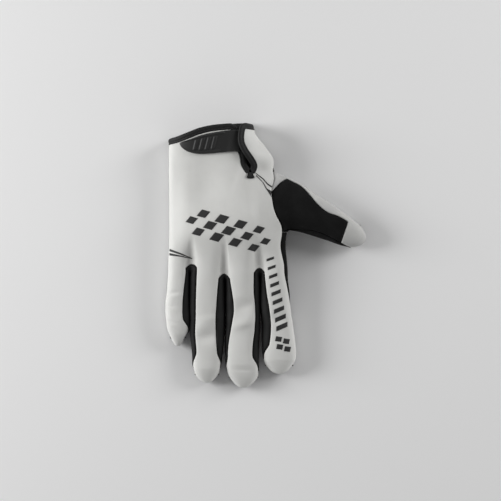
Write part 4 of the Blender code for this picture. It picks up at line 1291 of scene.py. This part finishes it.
for face in tape_body.faces:
    numbers = [where[loop.vert][0] for loop in face.loops]
    for loop in face.loops:
        number, side = where[loop.vert]
        if max(numbers) - min(numbers) > 1 and number == 0:
            number = len(tape_rings)
        loop[tape_places].uv = (number * BINDING_STEP, side * WRAP_STEP)
cuff_tape = finished("cuff_tape", tape_body, black_tape, "cuff_binding")

# Bonded polyester thread, black. It gives the eye a row of small, slightly shiny dashes,
# uneven at the 0.4 mm of its twist.
TWIST = 0.0004
TWIST_DEPTH = 0.00005
black_thread, thread_shader = new_material("black polyester thread", "#232323", 0.5)
add_grain(black_thread, thread_shader, {"Scale": 1 / TWIST}, (0.5, TWIST_DEPTH))

tape_stitches = bmesh.new()
steps = round(STITCH_PITCH / BINDING_STEP)
for number in range(0, len(tape_frames) - steps, steps):
    start = tape_frames[number]
    end = tape_frames[(number + steps - 1) % len(tape_frames)]
    if start[2].z < 0:
        continue
    ends = [middle + out * STITCH_GROOVE[0] * BINDING_WIDTH + up * STITCH_GROOVE[1] * half_tape
            for middle, out, up in (start, end)]
    add_thread(tape_stitches, ends[0], ends[1], start[2], THREAD)
finished("cuff_stitches", tape_stitches, black_thread)


# Pull tab: the moulded rubber end of the wrist strap, lying over the slit with its right
# end tucked under the flap. It has a raised rim and slanting ribs to grip.
TAB_THICKNESS = 0.0020
TAB_CLEARANCE = 0.0005
RIDGE_HEIGHT = 0.0006
TAB_STEPS = 110
TAB_ACROSS_STEPS = 44
TAB_SLANT = 0.05
TAB_EDGE_ROUND = 0.05
TAB_CLIMB_START = 0.02
TAB_CLIMB_LENGTH = 0.05
TAB_CLIMB = 0.4
RIB_PLACES = [0.24, 0.34, 0.44, 0.54]
RIB_WIDTH = 0.05
RIB_SLOPE = 0.012
RIM_SPAN = (0.07, 0.70)
RIM_PLACE = (0.06, 0.13)
RIM_SLOPE = 0.03
RIB_SPAN = (0.20, 0.80)
RIB_END_SLOPE = 0.05
EDGE_THICKNESS = 0.55

# Pull tab's outline: across (of HAND_WIDTH), its upper and lower edge (of PALM_LENGTH).
TAB = [
    (-0.408, 0.772, 0.764),
    (-0.385, 0.780, 0.744),
    (-0.324, 0.795, 0.720),
    (-0.222, 0.821, 0.706),
    (-0.100, 0.838, 0.709),
    (0.000, 0.847, 0.716),
    (0.072, 0.850, 0.721),
    (0.140, 0.850, 0.719),
]


def plateau(value, low, high, slope):
    """1 between low and high, falling to 0 over a slope on both sides."""
    return ease((value - low) / slope + 0.5) * ease((high - value) / slope + 0.5)


def tab_relief(share, across):
    """Height of the rim and the ribs, from 0 to 1, at a place on the tab."""
    side = min(across, 1 - across)
    rim = plateau(side, *RIM_PLACE, RIM_SLOPE) * plateau(share, *RIM_SPAN, RIM_SLOPE)
    ribs = 0.0
    for start in RIB_PLACES:
        ribs = max(ribs, plateau(share, start, start + RIB_WIDTH, RIB_SLOPE))
    return max(rim, ribs * plateau(across, *RIB_SPAN, RIB_END_SLOPE))


def tab_point(share, across):
    """Point on the underside of the tab, draped over the back of the hand."""
    place = mix(TAB[0][0], TAB[-1][0], share)
    upper, lower = read_table(TAB, place)
    x = (place + TAB_SLANT * math.sin(math.pi * share) * (0.5 - across)) * HAND_WIDTH
    y = mix(upper, lower, across) * PALM_LENGTH
    climb = TAB_CLIMB * ease((place - TAB_CLIMB_START) / TAB_CLIMB_LENGTH)
    seat = TAB_CLEARANCE + climb * (BINDING_THICKNESS - BACK_WALL)
    return Vector((x, y, back_height(x, y) + seat))


# Thermoplastic rubber, injection moulded. It gives the eye a matt black with the fine grain
# of its mould, 0.5 mm, and faint rubbed patches about 11 mm wide.
MOULD_GRAIN = 0.0005
MOULD_DEPTH = 0.00004
RUBBED_PATCH = 1 / 90
matt_rubber, rubber_shader = new_material("moulded matt rubber", "#1c1c1c", 0.55)
add_grain(matt_rubber, rubber_shader, {"Scale": 1 / MOULD_GRAIN, "Detail": 2.0},
          (0.6, MOULD_DEPTH), {"Scale": 1 / RUBBED_PATCH, "Detail": 6.0},
          ("#191919", "#222222"))

tab_body = bmesh.new()
tab_low = []
tab_high = []
for step in range(TAB_STEPS + 1):
    share = step / TAB_STEPS
    low_row = []
    high_row = []
    for number in range(TAB_ACROSS_STEPS + 1):
        across = 0.5 - 0.5 * math.cos(math.pi * number / TAB_ACROSS_STEPS)
        near_edge = min(across, 1 - across, share * 2, (1 - share) * 2) / TAB_EDGE_ROUND
        edge = math.sqrt(1 - (1 - min(1.0, near_edge)) ** 2)
        thickness = TAB_THICKNESS * mix(EDGE_THICKNESS, 1.0, edge)
        thickness += RIDGE_HEIGHT * tab_relief(share, across)
        point = tab_point(share, across)
        low_row.append(tab_body.verts.new(point))
        high_row.append(tab_body.verts.new(point + Vector((0, 0, thickness))))
    tab_low.append(low_row)
    tab_high.append(high_row)
for step in range(TAB_STEPS):
    for number in range(TAB_ACROSS_STEPS):
        for grid, turn in ((tab_high, 1), (tab_low, -1)):
            face = [grid[step][number], grid[step + 1][number],
                    grid[step + 1][number + 1], grid[step][number + 1]]
            tab_body.faces.new(face[::turn])
rim = [(step, 0) for step in range(TAB_STEPS + 1)]
rim += [(TAB_STEPS, number) for number in range(1, TAB_ACROSS_STEPS + 1)]
rim += [(step, TAB_ACROSS_STEPS) for step in range(TAB_STEPS - 1, -1, -1)]
rim += [(0, number) for number in range(TAB_ACROSS_STEPS - 1, 0, -1)]
for number, (step, across) in enumerate(rim):
    next_step, next_across = rim[(number + 1) % len(rim)]
    tab_body.faces.new([tab_low[step][across], tab_low[next_step][next_across],
                        tab_high[next_step][next_across], tab_high[step][across]])
finished("wrist_tab", tab_body, matt_rubber, "pull_tab")


# Prints: dark grey ink on the white cloth, screen printed before sewing. A slanting band
# of checks crosses the back, bars run down the index finger, and thin stripes start at
# the thumb and at the little finger.
INK_LIFT = 0.00009
INK_CELL = 0.0009
INK_DEPTH = 0.00015

# All places and sizes of the prints are in millimetres in the glove's frame, seen from
# above. Band of checks: its turn and middle, a check's width, height and slant, the pitch
# of its rows, and how the checks shrink toward its ends.
BAND_TURN = math.radians(-16)
BAND_CENTRE = (-37.5, 23.0)
CHECK = 8.6
CHECK_HEIGHT = 7.6
SLANT = 3.4
CHECK_ROW = 8.4
BAND_REACH = (36, 40, 36)
SHRINK = 0.55
SHRINK_REACH = 62

# Bars down the index finger, from the first to the last.
BARS = 9
BAR_TOP = -3.5
BAR_PITCH = 7.6
BAR_ACROSS = (4.0, 14.5)
BAR_LENGTH = (6.5, 10.0)
BAR_WIDTH = (2.2, 4.4)
BAR_LEAN = 0.5

# Middles of the four small checks near the tip of the index finger, and their half sizes.
TIP_CHECKS = [(11.5, -75.5), (18.5, -77.5), (12.5, -82.5), (19.5, -84.5)]
TIP_CHECK = [(-2.2, 2.6), (3.2, 1.8), (2.2, -2.6), (-3.2, -1.8)]

# Thin stripes, each by its upper and its lower edge: two near the thumb, two by the
# little finger.
STRIPES = [
    ([(-9.4, 73.9), (-2.3, 68.7), (1.8, 64.1), (7.6, 60.4)],
     [(-9.1, 73.2), (-2.6, 67.8), (1.5, 63.0), (7.4, 59.0)]),
    ([(-8.3, 71.6), (-1.9, 64.6), (1.2, 59.4), (7.2, 56.3)],
     [(-8.8, 70.9), (-3.1, 65.4), (0.2, 59.4), (7.2, 49.0)]),
    ([(-86.4, 5.6), (-76.0, 1.6), (-66.2, -2.9)],
     [(-86.4, 3.4), (-76.0, 0.3), (-66.2, -3.2)]),
    ([(-86.4, 1.8), (-76.0, -0.6), (-66.0, -3.3)],
     [(-86.4, -0.4), (-76.0, -1.6), (-66.0, -3.5)]),
]
cloth_shape = bmesh.new()
cloth_shape.from_mesh(back_panel.data)
cloth_tree = BVHTree.FromBMesh(cloth_shape)


def on_cloth(x, y, lift):
    """Point of the cloth under a place seen from above, in millimetres, lifted a little."""
    hit, normal, _, _ = cloth_tree.ray_cast(Vector((x / 1000, y / 1000, 0.1)), Vector((0, 0, -1)))
    if hit is None or normal.z < 0.05:
        return None
    return hit + normal * lift


def print_quad(body, corners):
    """One four-cornered patch of ink, laid over the cloth in small cells."""
    a, b, c, d = [Vector(corner) for corner in corners]
    columns = max(1, math.ceil(max((b - a).length, (c - d).length) / 1000 / INK_CELL))
    rows = max(1, math.ceil(max((d - a).length, (c - b).length) / 1000 / INK_CELL))
    grid = []
    for row in range(rows + 1):
        line = []
        for column in range(columns + 1):
            place = mix(mix(a, b, column / columns), mix(d, c, column / columns), row / rows)
            point = on_cloth(place.x, place.y, INK_LIFT)
            line.append(body.verts.new(point) if point else None)
        grid.append(line)
    for row in range(rows):
        for column in range(columns):
            corners = [grid[row][column], grid[row][column + 1],
                       grid[row + 1][column + 1], grid[row + 1][column]]
            if None not in corners:
                body.faces.new(corners)


def print_stroke(body, upper, lower):
    """A stripe of ink between two edges with the same number of points."""
    for number in range(len(upper) - 1):
        print_quad(body, [upper[number], upper[number + 1], lower[number + 1], lower[number]])


def check_shape(middle, low):
    """Corners of one check of the band, smaller the further it is from the middle."""
    size = 1 - SHRINK * (abs(middle) / SHRINK_REACH) ** 1.5
    shape = []
    for side, up in ((-1, 1), (1, 1), (1, -1), (-1, -1)):
        x = middle + (side * CHECK + up * SLANT) / 2 * size
        y = low + up * CHECK_HEIGHT / 2 * size
        shape.append((BAND_CENTRE[0] + x * math.cos(BAND_TURN) - y * math.sin(BAND_TURN),
                      BAND_CENTRE[1] + x * math.sin(BAND_TURN) + y * math.cos(BAND_TURN)))
    return shape


ink = bmesh.new()
for row, reach in zip((1, 0, -1), BAND_REACH):
    for number in range(-4, 4):
        middle = (number * 2 + row % 2 + 0.5) * CHECK
        if abs(middle) <= reach:
            print_quad(ink, check_shape(middle, row * CHECK_ROW))
for number in range(BARS):
    share = number / (BARS - 1)
    along = BAR_TOP - number * BAR_PITCH
    across = mix(*BAR_ACROSS, share)
    half = mix(*BAR_LENGTH, share) / 2
    thick = mix(*BAR_WIDTH, share)
    lean = BAR_LEAN * thick
    print_quad(ink, [(across - half, along + thick / 2 - lean),
                     (across + half, along + thick / 2 + lean),
                     (across + half, along - thick / 2 + lean),
                     (across - half, along - thick / 2 - lean)])
for across, along in TIP_CHECKS:
    print_quad(ink, [(across + side, along + up) for side, up in TIP_CHECK])
for upper, lower in STRIPES:
    print_stroke(ink, upper, lower)

# Plastisol ink. It gives the eye a dark grey, a little smoother than the cloth that it
# sinks into, mottled at the size of the knit's loops.
INK_GRAIN = {"Scale": 1 / 0.0009, "Detail": 2.0}
INK_RELIEF = 0.00004
grey_ink, ink_shader = new_material("dark grey screen ink", "#303030", 0.6)
ink_shader.inputs["Specular IOR Level"].default_value = 0.35
add_grain(grey_ink, ink_shader, INK_GRAIN, (0.5, INK_RELIEF), INK_GRAIN,
          ("#2b2b2b", "#353535"))

bmesh.ops.remove_doubles(ink, verts=ink.verts[:], dist=0.00002)
ink_mesh = bpy.data.meshes.new("back_prints")
ink.to_mesh(ink_mesh)
ink.free()
ink_mesh.shade_smooth()
ink_mesh.materials.append(grey_ink)
prints = bpy.data.objects.new("back_prints", ink_mesh)
bpy.context.scene.collection.objects.link(prints)
film = prints.modifiers.new("ink thickness", "SOLIDIFY")
film.thickness = INK_DEPTH
film.offset = -1.0
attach(prints, "root")


# Floor, lights and camera: a plain pale paper floor, two broad soft lights standing low at
# the left and the right, a studio that is brightest near the floor, and a camera straight
# above with a long lens.
FLOOR_SIZE = 4.0
FLOOR_DROP = 0.0002
STUDIO_LIGHT = 0.9
LENS = 300
SENSOR = 36
FRAME_WIDTH = 0.4509
SEEN_PLACE = (-0.0137, 0.00405, 0.014)

# Lights: name, place, width, watts. Both face the middle of the floor.
LIGHTS = [
    ("left light", (-1.5, 0.3, 0.62), 0.8, 20),
    ("right light", (1.4, 0.7, 0.75), 0.8, 12),
]

floor_body = bmesh.new()
bmesh.ops.create_grid(floor_body, x_segments=1, y_segments=1, size=FLOOR_SIZE)
floor_mesh = bpy.data.meshes.new("floor")
floor_body.to_mesh(floor_mesh)
floor_body.free()
floor = bpy.data.objects.new("floor", floor_mesh)
bpy.context.scene.collection.objects.link(floor)
floor.location.z = -FLOOR_DROP
# Matt white paper. It gives the eye an even pale ground.
pale_paper, _ = new_material("pale studio paper", "#fafafa", 0.9)
floor_mesh.materials.append(pale_paper)

for name, place, width, watts in LIGHTS:
    lamp = bpy.data.lights.new(name, "AREA")
    lamp.shape = "DISK"
    lamp.size = width
    lamp.energy = watts
    light = bpy.data.objects.new(name, lamp)
    bpy.context.scene.collection.objects.link(light)
    light.location = place
    light.rotation_euler = (-Vector(place)).to_track_quat("-Z", "Y").to_euler()

# White walls round a darker ceiling, by the height of the direction looked in.
world = bpy.data.worlds.new("studio")
world.use_nodes = True
background = world.node_tree.nodes["Background"]
background.inputs["Strength"].default_value = STUDIO_LIGHT
around = add_node(world, "ShaderNodeTexCoord", {})
height = add_node(world, "ShaderNodeSeparateXYZ", {}, [("Vector", around.outputs["Generated"])])
walls = add_node(world, "ShaderNodeValToRGB", {}, [("Fac", height.outputs["Z"])])
walls.color_ramp.elements[0].color = linear("#ffffff")
walls.color_ramp.elements[1].color = linear("#5a5a5a")
walls.color_ramp.elements[1].position = 0.8
world.node_tree.links.new(walls.outputs["Color"], background.inputs["Color"])
bpy.context.scene.world = world
bpy.context.scene.view_settings.view_transform = "Standard"

# The picture's 501 pixels of 0.9 mm span the frame's width at mid height of the glove.
camera_data = bpy.data.cameras.new("camera")
camera_data.lens = LENS
camera_data.sensor_width = SENSOR
camera = bpy.data.objects.new("camera", camera_data)
bpy.context.scene.collection.objects.link(camera)
camera.location = Vector(SEEN_PLACE) + Vector((0, 0, FRAME_WIDTH * LENS / SENSOR))
bpy.context.scene.camera = camera
